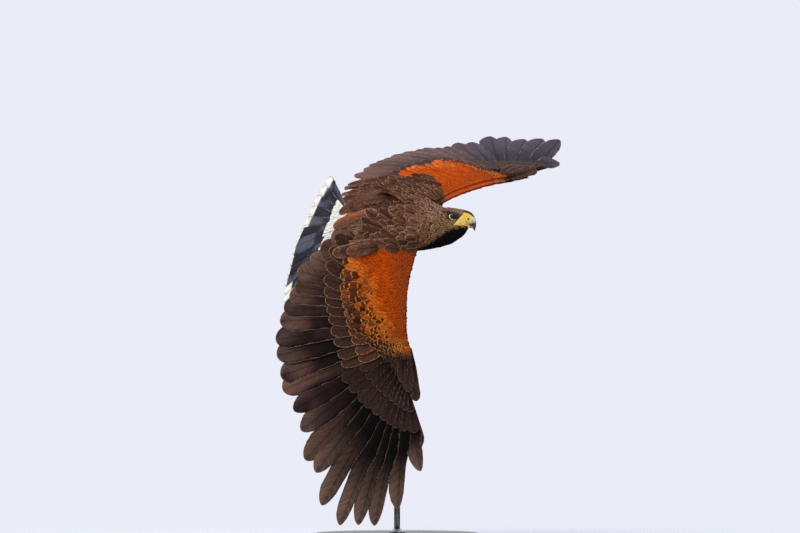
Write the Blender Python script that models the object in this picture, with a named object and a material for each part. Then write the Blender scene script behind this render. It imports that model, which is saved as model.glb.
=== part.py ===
"""A harris hawk in banking flight, life size, as a still model on a display stand.

Metres, +Z up. The origin is the centre of the underside of the stand's base. The hawk
flies towards +X and a little towards -Y, banked so that its right wing hangs straight
down and its left wing reaches away along +Y. Each sub-part is one closed solid. Parts
that touch keep a gap of 0.3 mm. Feathers are vanes laid in tiers and joined to the part
that they grow from.
"""
import math

import bmesh
import bpy
import numpy as np

# The gap between parts that touch.
GAP = 0.0003

# The stand.
BASE_RADIUS = 0.155
BASE_HEIGHT = 0.018
BASE_BEVEL = 0.003
ROD_RADIUS = 0.0055
ROD_TOP = 0.560
COLLAR_RADIUS = 0.0150
COLLAR_HEIGHT = 0.0065

# The body: the centre of the chest between the shoulders, and how it is turned.
CHEST_CENTRE = (0.0253, -0.0420, 0.5827)
HEADING = math.radians(38.2)
CLIMB = math.radians(-2.9)
BANK = math.radians(52.8)
BODY_SIDES = 20

# Torso rings: distance ahead of the chest, drop of the centre, half width, rise, depth.
TORSO_RINGS = (
    (-0.168, -0.0225, 0.0120, 0.0090, 0.0100),
    (-0.160, -0.0205, 0.0210, 0.0150, 0.0170),
    (-0.140, -0.0160, 0.0310, 0.0230, 0.0260),
    (-0.115, -0.0110, 0.0400, 0.0310, 0.0350),
    (-0.085, -0.0060, 0.0475, 0.0390, 0.0440),
    (-0.055, -0.0025, 0.0525, 0.0450, 0.0505),
    (-0.025, -0.0005, 0.0550, 0.0490, 0.0540),
    (0.002, 0.0000, 0.0550, 0.0500, 0.0540),
    (0.028, 0.0010, 0.0515, 0.0480, 0.0510),
)

# The head: its middle at the level of the eyes, and how it is turned.
HEAD_CENTRE = (0.1031, -0.0900, 0.5955)
HEAD_FORWARD = (0.993, 0.0, -0.119)
HEAD_UP = (0.119, -0.10, 0.99)
HEAD_SIDES = 20

# Head rings: distance ahead of the eyes, level of the widest line, half width, rise, depth.
HEAD_RINGS = (
    (-0.0180, -0.0140, 0.0275, 0.0270, 0.0440),
    (-0.0120, -0.0120, 0.0262, 0.0268, 0.0430),
    (-0.0060, -0.0100, 0.0248, 0.0254, 0.0418),
    (0.0000, -0.0090, 0.0232, 0.0245, 0.0405),
    (0.0050, -0.0084, 0.0218, 0.0237, 0.0382),
    (0.0100, -0.0080, 0.0202, 0.0229, 0.0350),
    (0.0150, -0.0080, 0.0182, 0.0222, 0.0318),
    (0.0200, -0.0082, 0.0154, 0.0212, 0.0270),
    (0.0245, -0.0085, 0.0124, 0.0197, 0.0210),
    (0.0280, -0.0090, 0.0100, 0.0175, 0.0155),
    (0.0310, -0.0100, 0.0076, 0.0145, 0.0085),
)

# The eyes.
EYE_RADIUS = 0.0086
EYE_AHEAD = -0.0015
EYE_APART = 0.0152
EYE_LOOK = (0.33, 0.0, 0.944)
EYE_BANDS = 8
EYE_SIDES = 14
LID_HALF_LENGTH = 0.0078
LID_HALF_HEIGHT = 0.0064
LID_RADIUS = 0.0013
LID_ABOVE = 0.0004

# The ridge over an eye: places ahead, above and to the side, and its radii.
BROW_PATH = (
    (-0.0110, 0.0065, 0.0205),
    (-0.0050, 0.0086, 0.0212),
    (0.0015, 0.0092, 0.0204),
    (0.0080, 0.0080, 0.0178),
    (0.0130, 0.0062, 0.0145),
)
BROW_RADII = (0.0012, 0.0026, 0.0030, 0.0026, 0.0012)
NECK_STEPS = 8

# The bill, from the eyes: cere rings and upper bill rings have a place ahead, the level
# of the top and of the bottom, and a half width.
CERE_RINGS = (
    (0.0140, 0.0120, -0.0130, 0.0150),
    (0.0200, 0.0128, -0.0130, 0.0152),
    (0.0250, 0.0112, -0.0130, 0.0128),
    (0.0300, 0.0090, -0.0130, 0.0100),
    (0.0345, 0.0055, -0.0131, 0.0074),
)
BILL_ARC = (
    (0.0348, 0.0053, -0.0131, 0.0072),
    (0.0376, 0.0022, -0.0140, 0.0063),
    (0.0400, -0.0022, -0.0149, 0.0052),
    (0.0416, -0.0074, -0.0162, 0.0040),
    (0.0421, -0.0125, -0.0178, 0.0027),
    (0.0417, -0.0172, -0.0196, 0.0016),
)
BILL_TIP = (0.0409, -0.0218)
BILL_TAPER_BACK = (0.0, 0.0006, 0.0014, 0.0028, 0.0040, 0.0044)
LOWER_BILL_RINGS = (
    (0.0160, -0.0137, -0.0182, 0.0110),
    (0.0230, -0.0137, -0.0188, 0.0096),
    (0.0290, -0.0139, -0.0184, 0.0074),
    (0.0335, -0.0145, -0.0174, 0.0048),
    (0.0362, -0.0152, -0.0166, 0.0022),
)
MOUTH_CORNER = 0.0030
MOUTH_LEVEL = -0.0134
MOUTH_HEIGHT = 0.0007
# A nostril: place ahead and above, radius, and how far aside its bore begins and ends.
NOSTRIL = (0.0275, -0.0015, 0.0022)
NOSTRIL_ASIDE = (0.0075, 0.0105, 0.0145)

# The wings. A wing is laid out flat from its shoulder: outwards, then forwards.
ELBOW = (0.089, -0.0335)
WRIST = (0.182, 0.002)
HAND_TIP = (0.271, 0.0145)

# The camber of the forearm: how far its middle arches up, where the arch starts at the
# front, how long it is, and where outwards it fades out.
CAMBER = 0.016
CAMBER_FRONT = 0.014
CAMBER_LENGTH = 0.25
CAMBER_FADE = (0.15, 0.24)
SECONDARY_LENGTH = (0.2315, 0.226, 0.2217, 0.217, 0.204, 0.194, 0.1816, 0.1697, 0.1666, 0.147)
SECONDARY_FAN = (66.8, 70.5, 77.8, 82.8, 89.3, 93.8, 98.0, 101.6, 108.2, 117.7)

# How each wing is held: where its shoulder is, the directions outwards and forwards of its
# arm and hand, its primaries from the innermost outwards (reach from the wrist, degrees
# back, how far the tip curves up, twist), the scale and turn of its fan of secondaries, its inner
# feathers (outwards, forwards, degrees back, length), and how far its innermost feathers
# hang down along the back.
RIGHT_WING = {
    "shoulder": (0.0053, -0.0560, 0.5455),
    "arm": ((0.0, -0.10, -0.995), (1.0, 0.0, 0.0)),
    "hand": ((0.0, -0.10, -0.995), (1.0, 0.0, 0.0)),
    "primaries": (
        (0.2305, 57.6, 0.0, 0.0), (0.2415, 48.5, 0.0, 0.0), (0.2750, 39.1, 0.0, 0.0),
        (0.2820, 33.2, 0.004, 0.0), (0.3290, 25.8, 0.008, 0.0), (0.3505, 18.4, 0.012, 0.0),
        (0.3410, 13.1, 0.012, 0.0), (0.3370, 8.2, 0.012, 0.0), (0.3030, 1.2, 0.012, 0.0),
        (0.2370, -8.6, 0.012, 0.0),
    ),
    "secondaries": (1.0, 0.0),
    "inner": ((0.074, -0.0300, 122.0, 0.1330), (0.058, -0.0260, 127.0, 0.1200)),
    "droop": 0.0,
}
LEFT_WING = {
    "shoulder": (0.0454, -0.0203, 0.6225),
    "arm": ((0.714, 0.667, 0.213), (0.700, -0.675, -0.2325)),
    "hand": ((0.530, 0.828, 0.183), (0.846, -0.498, -0.191)),
    "primaries": (
        (0.2305, 63.3, 0.0, 0.0), (0.2415, 54.6, 0.0, 0.0), (0.2750, 45.5, 0.0, 0.0),
        (0.2820, 39.8, 0.0, 0.0), (0.3290, 32.7, 0.001, 0.0), (0.3456, 27.7, -0.002, -0.05),
        (0.3377, 21.6, -0.001, -0.15), (0.3370, 15.7, 0.004, -0.25), (0.3073, 8.0, 0.015, -0.35),
        (0.2350, 0.0, -0.008, -0.60),
    ),
    "secondaries": (1.035, 3.9),
    "inner": ((0.074, -0.0300, 124.0, 0.1580), (0.058, -0.0260, 121.0, 0.1660)),
    "droop": math.radians(11.0),
}

# How far the greater and median coverts of the hand reach from the wrist, at its outer
# and at its inner end, and how long the coverts of the forearm, the coverts under the
# wing and the small feathers of the thumb are.
GREATER_REACH = (0.150, 0.122)
MEDIAN_REACH = (0.112, 0.084)
GREATER_LENGTH = 0.108
MEDIAN_LENGTH = 0.068
UNDER_LENGTH = 0.105
ALULA_LENGTHS = (0.104, 0.086, 0.068)
DROOP_FROM = 6

# The scapulars: how many, how far forwards they start, and from the outermost to the
# innermost their start outwards, degrees back and length.
SCAPULARS = 4
SCAPULAR_FORE = -0.038
SCAPULAR_START = (0.046, -0.016)
SCAPULAR_BACK = (104.0, 120.0)
SCAPULAR_LENGTH = (0.074, 0.086)

# The vanes of the wings: widths, the height of each layer over the flight feathers, how
# deep a covert's root lies, how far a vane lies over the next one, and thicknesses.
FLIGHT_WIDTH = 0.041
GREATER_WIDTH = 0.027
UNDER_WIDTH = 0.038
ALULA_WIDTH = 0.019
SCAPULAR_WIDTH = 0.034
COVERT_ROOT = 0.0018
ROOT_STEP = 0.008
RISE_PART = 0.30
GREATER_LAYER = 0.0037
MEDIAN_LAYER = 0.0074
SCAPULAR_LAYER = 0.0125
UNDER_LAYER = -0.0037
VANE_STEP = 0.0016
SHAFT_THICKNESS = 0.0012
VANE_EDGE = 0.0006

# The flesh of the wing: where a section's points lie from its front edge to its rear edge
# and back, and its sections with place outwards, front edge, rear edge, half thickness.
WING_CHORD = (0.0, 0.03, 0.14, 0.34, 0.62, 0.88, 1.0, 0.88, 0.62, 0.34, 0.14, 0.03)
ARM_SECTIONS = (
    (-0.020, 0.0420, -0.0800, 0.0140),
    (0.010, 0.0340, -0.0790, 0.0140),
    (0.035, 0.0260, -0.0770, 0.0130),
    (0.060, 0.0190, -0.0745, 0.0122),
    (0.090, 0.0145, -0.0710, 0.0112),
    (0.120, 0.0130, -0.0660, 0.0102),
    (0.150, 0.0130, -0.0590, 0.0092),
    (0.176, 0.0145, -0.0500, 0.0080),
    (0.198, 0.0215, -0.0380, 0.0068),
    (0.222, 0.0240, -0.0270, 0.0058),
    (0.248, 0.0255, -0.0130, 0.0048),
    (0.272, 0.0240, 0.0020, 0.0036),
)

# The tail.
TAIL_AXIS = (-0.404, 0.911, -0.131)
TAIL_RIGHT = (-0.36, -0.17, -0.92)
TAIL_BASE_AHEAD = -0.160
TAIL_BASE_DROP = -0.0205
TAIL_LENGTH = 0.242
TAIL_OUTER_SHORTER = 0.016
TAIL_HALF_FAN = math.radians(26.3)
TAIL_FEATHERS = 12
TAIL_WIDTH = 0.036
TAIL_ROOT_HALF_WIDTH = 0.018
TAIL_COVERTS = 8
UPPER_TAIL_COVERT = 0.082
UNDER_TAIL_COVERT = 0.090
TAIL_COVERT_WIDTH = 0.030
TAIL_COVERT_LAYER = 0.0046
TAIL_MIDDLE_LIFT = 0.0012
# Rings of the tail's flesh: place along the tail, half width and half thickness.
TAIL_CORE = (
    (-0.012, 0.0210, 0.0110), (0.006, 0.0240, 0.0100), (0.022, 0.0240, 0.0075),
    (0.036, 0.0215, 0.0050), (0.046, 0.0170, 0.0028),
)

# The legs, from the chest: ahead, above and to the side.
HIP = (-0.088, -0.026, 0.024)
ANKLE = (-0.150, -0.066, 0.028)
SHANK_AIM = (-0.97, -0.20, -0.10)
SHANK_LENGTH = 0.078
THIGH_PLACES = (0.0, 0.25, 0.5, 0.75, 0.92, 1.0)
THIGH_RADII = (0.0200, 0.0230, 0.0215, 0.0165, 0.0110, 0.0068)
SHANK_PLACES = (-0.06, 0.1, 0.5, 0.9, 1.0)
SHANK_RADII = (0.0050, 0.0046, 0.0040, 0.0046, 0.0050)

# The feet: each toe has a spread in degrees, a length and the length of its claw.
TOES = (
    ("inner", -24, 0.028, 0.0150),
    ("middle", 0, 0.043, 0.0140),
    ("outer", 24, 0.032, 0.0120),
    ("hind", 180, 0.022, 0.0190),
)
TOE_START = 0.0068
TOE_CURL = 1.1
TOE_RADIUS = 0.0036
TOE_TAPER = (1.05, 1.0, 0.92, 0.86, 0.72)
PAD_PLACES = (GAP, 0.003, 0.008, 0.0125)
PAD_RADII = (0.0052, 0.0068, 0.0066, 0.0030)
CLAW_CURL = 1.3
CLAW_RADII = (0.0024, 0.0020, 0.0013, 0.0003)


def unit(vector):
    """Return the vector at length one."""
    vector = np.asarray(vector, dtype=float)
    return vector / np.linalg.norm(vector)


def frame_of(first, second):
    """Return two square directions, the first as given and the second near it, and their cross."""
    first = unit(first)
    second = np.asarray(second, dtype=float)
    second = unit(second - first * np.dot(first, second))
    return first, second, np.cross(first, second)


def body_frame():
    """Return the body's forward, right and up from its heading, climb and bank."""
    forward = np.array((
        math.cos(HEADING) * math.cos(CLIMB),
        -math.sin(HEADING) * math.cos(CLIMB),
        math.sin(CLIMB),
    ))
    level_right = unit(np.cross(forward, (0.0, 0.0, 1.0)))
    level_up = np.cross(level_right, forward)
    right = math.cos(BANK) * level_right - math.sin(BANK) * level_up
    up = math.sin(BANK) * level_right + math.cos(BANK) * level_up
    return forward, right, up


BODY_FORWARD, BODY_RIGHT, BODY_UP = body_frame()
HEAD_AHEAD, HEAD_TOP, HEAD_RIGHT = frame_of(HEAD_FORWARD, HEAD_UP)


def body_point(ahead, above, aside):
    """Return the point at a place measured from the chest along the body's own directions."""
    return np.array(CHEST_CENTRE) + ahead * BODY_FORWARD + above * BODY_UP + aside * BODY_RIGHT


def head_point(ahead, above, aside):
    """Return the point at a place measured from between the eyes along the head's directions."""
    return np.array(HEAD_CENTRE) + ahead * HEAD_AHEAD + above * HEAD_TOP + aside * HEAD_RIGHT


def material(name, colour, roughness, metallic=0.0):
    """Return a plain finish of one colour."""
    finish = bpy.data.materials.new(name)
    finish.use_nodes = True
    finish.diffuse_color = (*colour, 1.0)
    shader = finish.node_tree.nodes["Principled BSDF"]
    shader.inputs["Base Color"].default_value = (*colour, 1.0)
    shader.inputs["Roughness"].default_value = roughness
    shader.inputs["Metallic"].default_value = metallic
    return finish


def make_object(name, points, faces):
    """Make an object of its points and triangles, with all faces turned outwards."""
    mesh = bpy.data.meshes.new(name)
    mesh.from_pydata([tuple(point) for point in points], [], [tuple(face) for face in faces])
    shape = bmesh.new()
    shape.from_mesh(mesh)
    bmesh.ops.recalc_face_normals(shape, faces=shape.faces)
    if shape.calc_volume(signed=True) < 0.0:
        bmesh.ops.reverse_faces(shape, faces=shape.faces)
    shape.to_mesh(mesh)
    shape.free()
    made = bpy.data.objects.new(name, mesh)
    bpy.context.scene.collection.objects.link(made)
    return made


def loft(name, rings, first_cap=None, last_cap=None):
    """Skin equal rings of points with triangles, and close each end on a middle point."""
    rings = np.asarray(rings, dtype=float)
    count, sides = rings.shape[:2]
    points = list(rings.reshape(-1, 3))
    faces = []
    for ring in range(count - 1):
        for side in range(sides):
            here = ring * sides + side
            beside = ring * sides + (side + 1) % sides
            faces.append((here, beside, beside + sides))
            faces.append((here, beside + sides, here + sides))
    for ring, cap in ((0, first_cap), (count - 1, last_cap)):
        middle = len(points)
        points.append(rings[ring].mean(axis=0) if cap is None else np.asarray(cap))
        for side in range(sides):
            here = ring * sides + side
            beside = ring * sides + (side + 1) % sides
            faces.append((here, beside, middle) if ring else (beside, here, middle))
    return make_object(name, points, faces)


def tube(name, path, radii, sides, reference=(0.0, 0.0, 1.0)):
    """Make a tapered round tube along a path, closed flat at both ends."""
    path = np.asarray(path, dtype=float)
    tangents = np.gradient(path, axis=0)
    rings = []
    for centre, tangent, radius in zip(path, tangents, radii):
        _, first, second = frame_of(tangent, reference)
        angles = np.arange(sides) * 2 * math.pi / sides
        rings.append(centre + radius * (np.outer(np.cos(angles), first) + np.outer(np.sin(angles), second)))
    return loft(name, rings)


def egg_ring(centre, up, right, half_width, rise, depth, sides):
    """Return a ring of points round a centre: wide to the sides, its own height up and down."""
    angles = np.arange(sides) * 2 * math.pi / sides
    heights = np.where(np.cos(angles) > 0.0, rise, depth) * np.cos(angles)
    return centre + np.outer(heights, up) + np.outer(half_width * np.sin(angles), right)


def keep_largest(mesh):
    """Leave only the largest closed surface in a mesh."""
    shape = bmesh.new()
    shape.from_mesh(mesh)
    shape.faces.ensure_lookup_table()
    unseen = set(range(len(shape.faces)))
    islands = []
    while unseen:
        first = unseen.pop()
        island = [first]
        stack = [shape.faces[first]]
        while stack:
            face = stack.pop()
            for edge in face.edges:
                for other in edge.link_faces:
                    if other.index in unseen:
                        unseen.discard(other.index)
                        island.append(other.index)
                        stack.append(other)
        islands.append(island)
    if len(islands) > 1:
        reach = []
        for island in islands:
            places = np.array([vertex.co for index in island for vertex in shape.faces[index].verts])
            reach.append(float(np.prod(np.ptp(places, axis=0) + 1e-6)))
        largest = set(islands[int(np.argmax(reach))])
        extra = [face for face in shape.faces if face.index not in largest]
        bmesh.ops.delete(shape, geom=extra, context="FACES")
    shape.to_mesh(mesh)
    shape.free()


def is_closed(mesh):
    """Tell whether a mesh has faces and each of its edges joins exactly two."""
    shape = bmesh.new()
    shape.from_mesh(mesh)
    closed = bool(shape.faces) and all(edge.is_manifold for edge in shape.edges)
    shape.free()
    return closed


def combine(target, others, operation):
    """Join other closed objects to a target, or cut them from it, and remove them."""
    group = bpy.data.collections.new("pieces")
    bpy.context.scene.collection.children.link(group)
    for other in others:
        bpy.context.scene.collection.objects.unlink(other)
        group.objects.link(other)
    boolean = target.modifiers.new("Combine", "BOOLEAN")
    boolean.operand_type = "COLLECTION"
    boolean.collection = group
    boolean.operation = operation
    for solver in ("EXACT", "MANIFOLD"):
        boolean.solver = solver
        graph = bpy.context.evaluated_depsgraph_get()
        mesh = bpy.data.meshes.new_from_object(target.evaluated_get(graph))
        if is_closed(mesh):
            break
    target.modifiers.clear()
    target.data = mesh
    for other in others:
        bpy.data.objects.remove(other)
    bpy.data.collections.remove(group)
    keep_largest(target.data)
    return target


def finish(made, look):
    """Give an object its finish and smooth shading with sharp corners kept."""
    made.data.materials.clear()
    made.data.materials.append(look)
    made.data.shade_smooth()
    made.data.set_sharp_from_angle(angle=math.radians(40))
    return made


def torso_solid(name, grow=0.0):
    """Make the torso, or the same shape larger all round."""
    rings = []
    for ahead, drop, half_width, rise, depth in TORSO_RINGS:
        rings.append(egg_ring(
            body_point(ahead, drop, 0.0), BODY_UP, BODY_RIGHT,
            half_width + grow, rise + grow, depth + grow, BODY_SIDES,
        ))
    first, last = TORSO_RINGS[0], TORSO_RINGS[-1]
    rings[0] = rings[0] - grow * BODY_FORWARD
    rings[-1] = rings[-1] + grow * BODY_FORWARD
    return loft(
        name, rings,
        body_point(first[0] - 0.003 - grow, first[1], 0.0),
        body_point(last[0] + grow, last[1], 0.0),
    )


def neck_solid(name, grow=0.0):
    """Make the neck, or the same shape larger: rings that turn from the chest to the head."""
    chest = TORSO_RINGS[-1]
    skull = HEAD_RINGS[0]
    start = body_point(chest[0] + GAP, chest[1], 0.0)
    end = head_point(skull[0] - GAP, skull[1], 0.0)
    reach = np.linalg.norm(end - start)
    rings = []
    for step in range(NECK_STEPS + 1):
        t = step / NECK_STEPS
        centre = (
            (2 * t ** 3 - 3 * t ** 2 + 1) * start + (t ** 3 - 2 * t ** 2 + t) * reach * BODY_FORWARD
            + (3 * t ** 2 - 2 * t ** 3) * end + (t ** 3 - t ** 2) * reach * HEAD_AHEAD
        )
        up = unit((1 - t) * BODY_UP + t * HEAD_TOP)
        right = unit((1 - t) * BODY_RIGHT + t * HEAD_RIGHT)
        half_width = (1 - t) * chest[2] + t * skull[2] + grow
        rise = (1 - t) * chest[3] + t * skull[3] + grow
        depth = (1 - t) * chest[4] + t * skull[4] + grow
        rings.append(egg_ring(centre, up, right, half_width, rise, depth, BODY_SIDES))
    return loft(name, rings)


def depth_ring(ahead, top, bottom, half_width, sides):
    """Return an upright oval ring on the head between two levels."""
    middle = (top + bottom) / 2
    half = (top - bottom) / 2
    return egg_ring(head_point(ahead, middle, 0.0), HEAD_TOP, HEAD_RIGHT, half_width, half, half, sides)


def cere_solid(name, grow=0.0):
    """Make the cere, the bare skin that holds the nostrils, or the same shape larger."""
    rings = []
    for ahead, top, bottom, half_width in CERE_RINGS:
        rings.append(depth_ring(ahead, top + grow, bottom - grow, half_width + grow, 14))
    rings[0] = rings[0] - grow * HEAD_AHEAD
    rings[-1] = rings[-1] + grow * HEAD_AHEAD
    return loft(name, rings)


def upper_bill_solid(name):
    """Make the hooked upper bill: slices that shrink and swing down to the point."""
    rings = []
    for (ahead, top, bottom, half_width), back in zip(BILL_ARC, BILL_TAPER_BACK):
        sides = 12
        angles = np.arange(sides) * 2 * math.pi / sides
        middle = (top + bottom) / 2
        half = (top - bottom) / 2
        lean = back * (0.5 - 0.5 * np.cos(angles))
        ring = (
            head_point(ahead, middle, 0.0) + np.outer(half * np.cos(angles), HEAD_TOP)
            + np.outer(half_width * np.sin(angles), HEAD_RIGHT) - np.outer(lean, HEAD_AHEAD)
        )
        rings.append(ring)
    return loft(name, rings, None, head_point(BILL_TIP[0], BILL_TIP[1], 0.0))


def lower_bill_solid(name, grow=0.0):
    """Make the lower bill, or the same shape larger."""
    rings = []
    for ahead, top, bottom, half_width in LOWER_BILL_RINGS:
        rings.append(depth_ring(ahead, top + grow, bottom - grow, half_width + grow, 12))
    rings[0] = rings[0] - grow * HEAD_AHEAD
    rings[-1] = rings[-1] + grow * HEAD_AHEAD
    return loft(name, rings)


def eye_solid(name, side, grow=0.0):
    """Make an eyeball, or the same shape larger."""
    centre = head_point(EYE_AHEAD, 0.0, side * EYE_APART)
    look = unit(EYE_LOOK[0] * HEAD_AHEAD + EYE_LOOK[1] * HEAD_TOP + side * EYE_LOOK[2] * HEAD_RIGHT)
    look, first, second = frame_of(look, HEAD_TOP)
    radius = EYE_RADIUS + grow
    angles = np.arange(EYE_SIDES) * 2 * math.pi / EYE_SIDES
    rings = []
    for band in range(1, EYE_BANDS):
        polar = math.pi * band / EYE_BANDS
        rings.append(
            centre - radius * math.cos(polar) * look
            + radius * math.sin(polar) * (np.outer(np.cos(angles), first) + np.outer(np.sin(angles), second))
        )
    return loft(name, rings, centre - radius * look, centre + radius * look)


def lid_solid(name, side):
    """Make the ring of skin round an eye, on which the lids close."""
    centre = head_point(EYE_AHEAD, 0.0, side * EYE_APART)
    look = unit(EYE_LOOK[0] * HEAD_AHEAD + EYE_LOOK[1] * HEAD_TOP + side * EYE_LOOK[2] * HEAD_RIGHT)
    look, rise, along = frame_of(look, HEAD_TOP)
    around, across = 18, 5
    points = []
    faces = []
    for step in range(around):
        angle = 2 * math.pi * step / around
        flat = math.cos(angle) * LID_HALF_LENGTH * along + math.sin(angle) * LID_HALF_HEIGHT * rise
        outward = unit(flat)
        height = math.sqrt(max(EYE_RADIUS ** 2 - np.dot(flat, flat), 0.0)) + LID_ABOVE
        middle = centre + flat + height * look
        for turn in range(across):
            roll = 2 * math.pi * turn / across
            points.append(middle + LID_RADIUS * (math.cos(roll) * outward + math.sin(roll) * look))
    for step in range(around):
        for turn in range(across):
            here = step * across + turn
            over = step * across + (turn + 1) % across
            ahead = ((step + 1) % around) * across + turn
            far = ((step + 1) % around) * across + (turn + 1) % across
            faces.append((here, over, far))
            faces.append((here, far, ahead))
    return make_object(name, points, faces)


def brow_solid(name, side):
    """Make the bony ridge over an eye."""
    path = [head_point(ahead, above, side * aside) for ahead, above, aside in BROW_PATH]
    return tube(name, path, BROW_RADII, 6, HEAD_TOP)


def head_solid(name):
    """Make the head with lids, brows, eye sockets, the line of the mouth and the bill's seat."""
    rings = []
    for ahead, level, half_width, rise, depth in HEAD_RINGS:
        rings.append(egg_ring(
            head_point(ahead, level, 0.0), HEAD_TOP, HEAD_RIGHT, half_width, rise, depth, HEAD_SIDES,
        ))
    head = loft(name, rings)
    ridges = []
    for side in (-1, 1):
        ridges.append(lid_solid("lid", side))
        ridges.append(brow_solid("brow", side))
    combine(head, ridges, "UNION")
    slit = []
    for ahead in (MOUTH_CORNER, 0.05):
        slit.append(np.array([
            head_point(ahead, MOUTH_LEVEL + MOUTH_HEIGHT / 2, -0.03),
            head_point(ahead, MOUTH_LEVEL + MOUTH_HEIGHT / 2, 0.03),
            head_point(ahead, MOUTH_LEVEL - MOUTH_HEIGHT / 2, 0.03),
            head_point(ahead, MOUTH_LEVEL - MOUTH_HEIGHT / 2, -0.03),
        ]))
    cutters = [
        eye_solid("socket", -1, GAP),
        eye_solid("socket", 1, GAP),
        cere_solid("seat", GAP),
        lower_bill_solid("seat", GAP),
        loft("slit", slit),
    ]
    return combine(head, cutters, "DIFFERENCE")


def smooth_share(value, low, high):
    """Return how far a value lies between two others, eased at both ends."""
    share = min(max((value - low) / (high - low), 0.0), 1.0)
    return share * share * (3 - 2 * share)


def camber(outward, forward):
    """Return how far the arched wing stands above the flat at a flat place."""
    along = min(max((CAMBER_FRONT - forward) / CAMBER_LENGTH, 0.0), 1.1)
    return CAMBER * 4 * along * (1 - along) * (1 - smooth_share(outward, *CAMBER_FADE))


def wing_layout(held):
    """Return a function that places a flat wing point, and one that gives a blended frame."""
    shoulder = np.array(held["shoulder"])
    arm_out, arm_fore, _ = frame_of(*held["arm"])
    hand_out, hand_fore, _ = frame_of(*held["hand"])
    arm_top = np.cross(arm_out, arm_fore)
    hand_top = np.cross(hand_out, hand_fore)
    if np.dot(arm_top, BODY_UP) < 0.0:
        arm_top = -arm_top
        hand_top = -hand_top
    wrist = shoulder + WRIST[0] * arm_out + WRIST[1] * arm_fore

    def place(outward, forward, above, hand):
        above = above + camber(outward, forward)
        arm_place = shoulder + outward * arm_out + forward * arm_fore + above * arm_top
        hand_place = (
            wrist + (outward - WRIST[0]) * hand_out + (forward - WRIST[1]) * hand_fore + above * hand_top
        )
        return (1 - hand) * arm_place + hand * hand_place

    def directions(hand):
        out = unit((1 - hand) * arm_out + hand * hand_out)
        fore = (1 - hand) * arm_fore + hand * hand_fore
        fore = unit(fore - out * np.dot(out, fore))
        top = unit((1 - hand) * arm_top + hand * hand_top)
        return out, fore, top

    return place, directions


def hand_share(outward):
    """Return how far a flat place outwards follows the hand and not the arm."""
    return smooth_share(outward, 0.150, 0.210)


def arm_solid(name, place):
    """Make the flesh of a wing from shoulder to hand as wing sections."""
    rings = []
    for outward, lead, trail, half in ARM_SECTIONS:
        ring = []
        for index, along in enumerate(WING_CHORD):
            swell = half * 2.6 * math.sqrt(along) * (1 - along) + 0.0012 * min(along * 8, 1.0)
            above = 0.0 if index == 0 else (swell if index < 7 else -0.8 * swell)
            if index == 6:
                above = 0.0006
            ring.append(place(outward, lead + (trail - lead) * along, above, hand_share(outward)))
        rings.append(ring)
    return loft(name, rings)


def flat_direction(degrees_back):
    """Return the flat wing direction that many degrees back from straight outwards."""
    angle = math.radians(degrees_back)
    return np.array((math.cos(angle), -math.sin(angle)))


def vane(name, root, along, side, top, stations):
    """Make one feather vane: a thin closed blade that is thickest along its shaft.

    Each station has a distance along the shaft, a width ahead of the shaft and one behind
    it, a height, a tilt that lifts the leading edge, and a share of the full thickness.
    """
    points = []
    for distance, lead, trail, height, tilt, share in stations:
        centre = root + distance * along + height * top
        across = math.cos(tilt) * side + math.sin(tilt) * top
        upward = math.cos(tilt) * top - math.sin(tilt) * side
        edge = VANE_EDGE / 2 * share
        shaft = SHAFT_THICKNESS / 2 * share
        points.append(centre + lead * across + edge * upward)
        points.append(centre + shaft * upward)
        points.append(centre - trail * across + edge * upward)
        points.append(centre + lead * across - edge * upward)
        points.append(centre - shaft * upward)
        points.append(centre - trail * across - edge * upward)
    faces = []
    last = (len(stations) - 1) * 6
    for here in range(0, last, 6):
        there = here + 6
        for upper, lower in ((0, 3), (1, 4)):
            faces.append((here + upper, here + upper + 1, there + upper + 1))
            faces.append((here + upper, there + upper + 1, there + upper))
            faces.append((here + lower, there + lower + 1, here + lower + 1))
            faces.append((here + lower, there + lower, there + lower + 1))
        for upper, lower in ((0, 3), (2, 5)):
            faces.append((here + upper, there + upper, there + lower))
            faces.append((here + upper, there + lower, here + lower))
    for end in (0, last):
        faces.append((end, end + 1, end + 4))
        faces.append((end, end + 4, end + 3))
        faces.append((end + 1, end + 2, end + 5))
        faces.append((end + 1, end + 5, end + 4))
    return make_object(name, points, faces)


def flight_feathers(held):
    """Return the root, direction, length, finger share, hand share, droop, lift and twist.

    The feathers run from the outermost primary inwards through the secondaries to the tertials.
    """
    wrist, elbow, hand_tip = np.array(WRIST), np.array(ELBOW), np.array(HAND_TIP)
    count = len(held["primaries"])
    plan = []
    for rank in range(count, 0, -1):
        reach, back, lift, twist = held["primaries"][rank - 1]
        root = wrist + (rank - 0.5) / count * (hand_tip - wrist)
        blade = wrist + reach * flat_direction(back) - root
        length = float(np.linalg.norm(blade))
        finger = min(max((rank - 3) / 3, 0.0), 1.0)
        share = min(0.45 + 0.2 * rank, 1.0)
        plan.append((root, blade / length, length, finger, share, 0.0, lift, twist))
    count = len(SECONDARY_LENGTH)
    for rank in range(1, count + 1):
        root = wrist + (rank - 0.5) / count * (elbow - wrist)
        back = SECONDARY_FAN[rank - 1] * held["secondaries"][0] + held["secondaries"][1]
        droop = held["droop"] * (max(rank - DROOP_FROM, 0) / (count + 2 - DROOP_FROM)) ** 2
        share = max(0.45 - 0.15 * rank, 0.0)
        length = SECONDARY_LENGTH[rank - 1]
        plan.append((root, flat_direction(back), length, 0.0, share, droop, 0.0, 0.0))
    for rank, (outward, forward, back, length) in enumerate(held["inner"], count + 1):
        droop = held["droop"] * ((rank - DROOP_FROM) / (count + 2 - DROOP_FROM)) ** 2
        root = np.array((outward, forward))
        plan.append((root, flat_direction(back), length, 0.0, 0.0, droop, 0.0, 0.0))
    return plan


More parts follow.
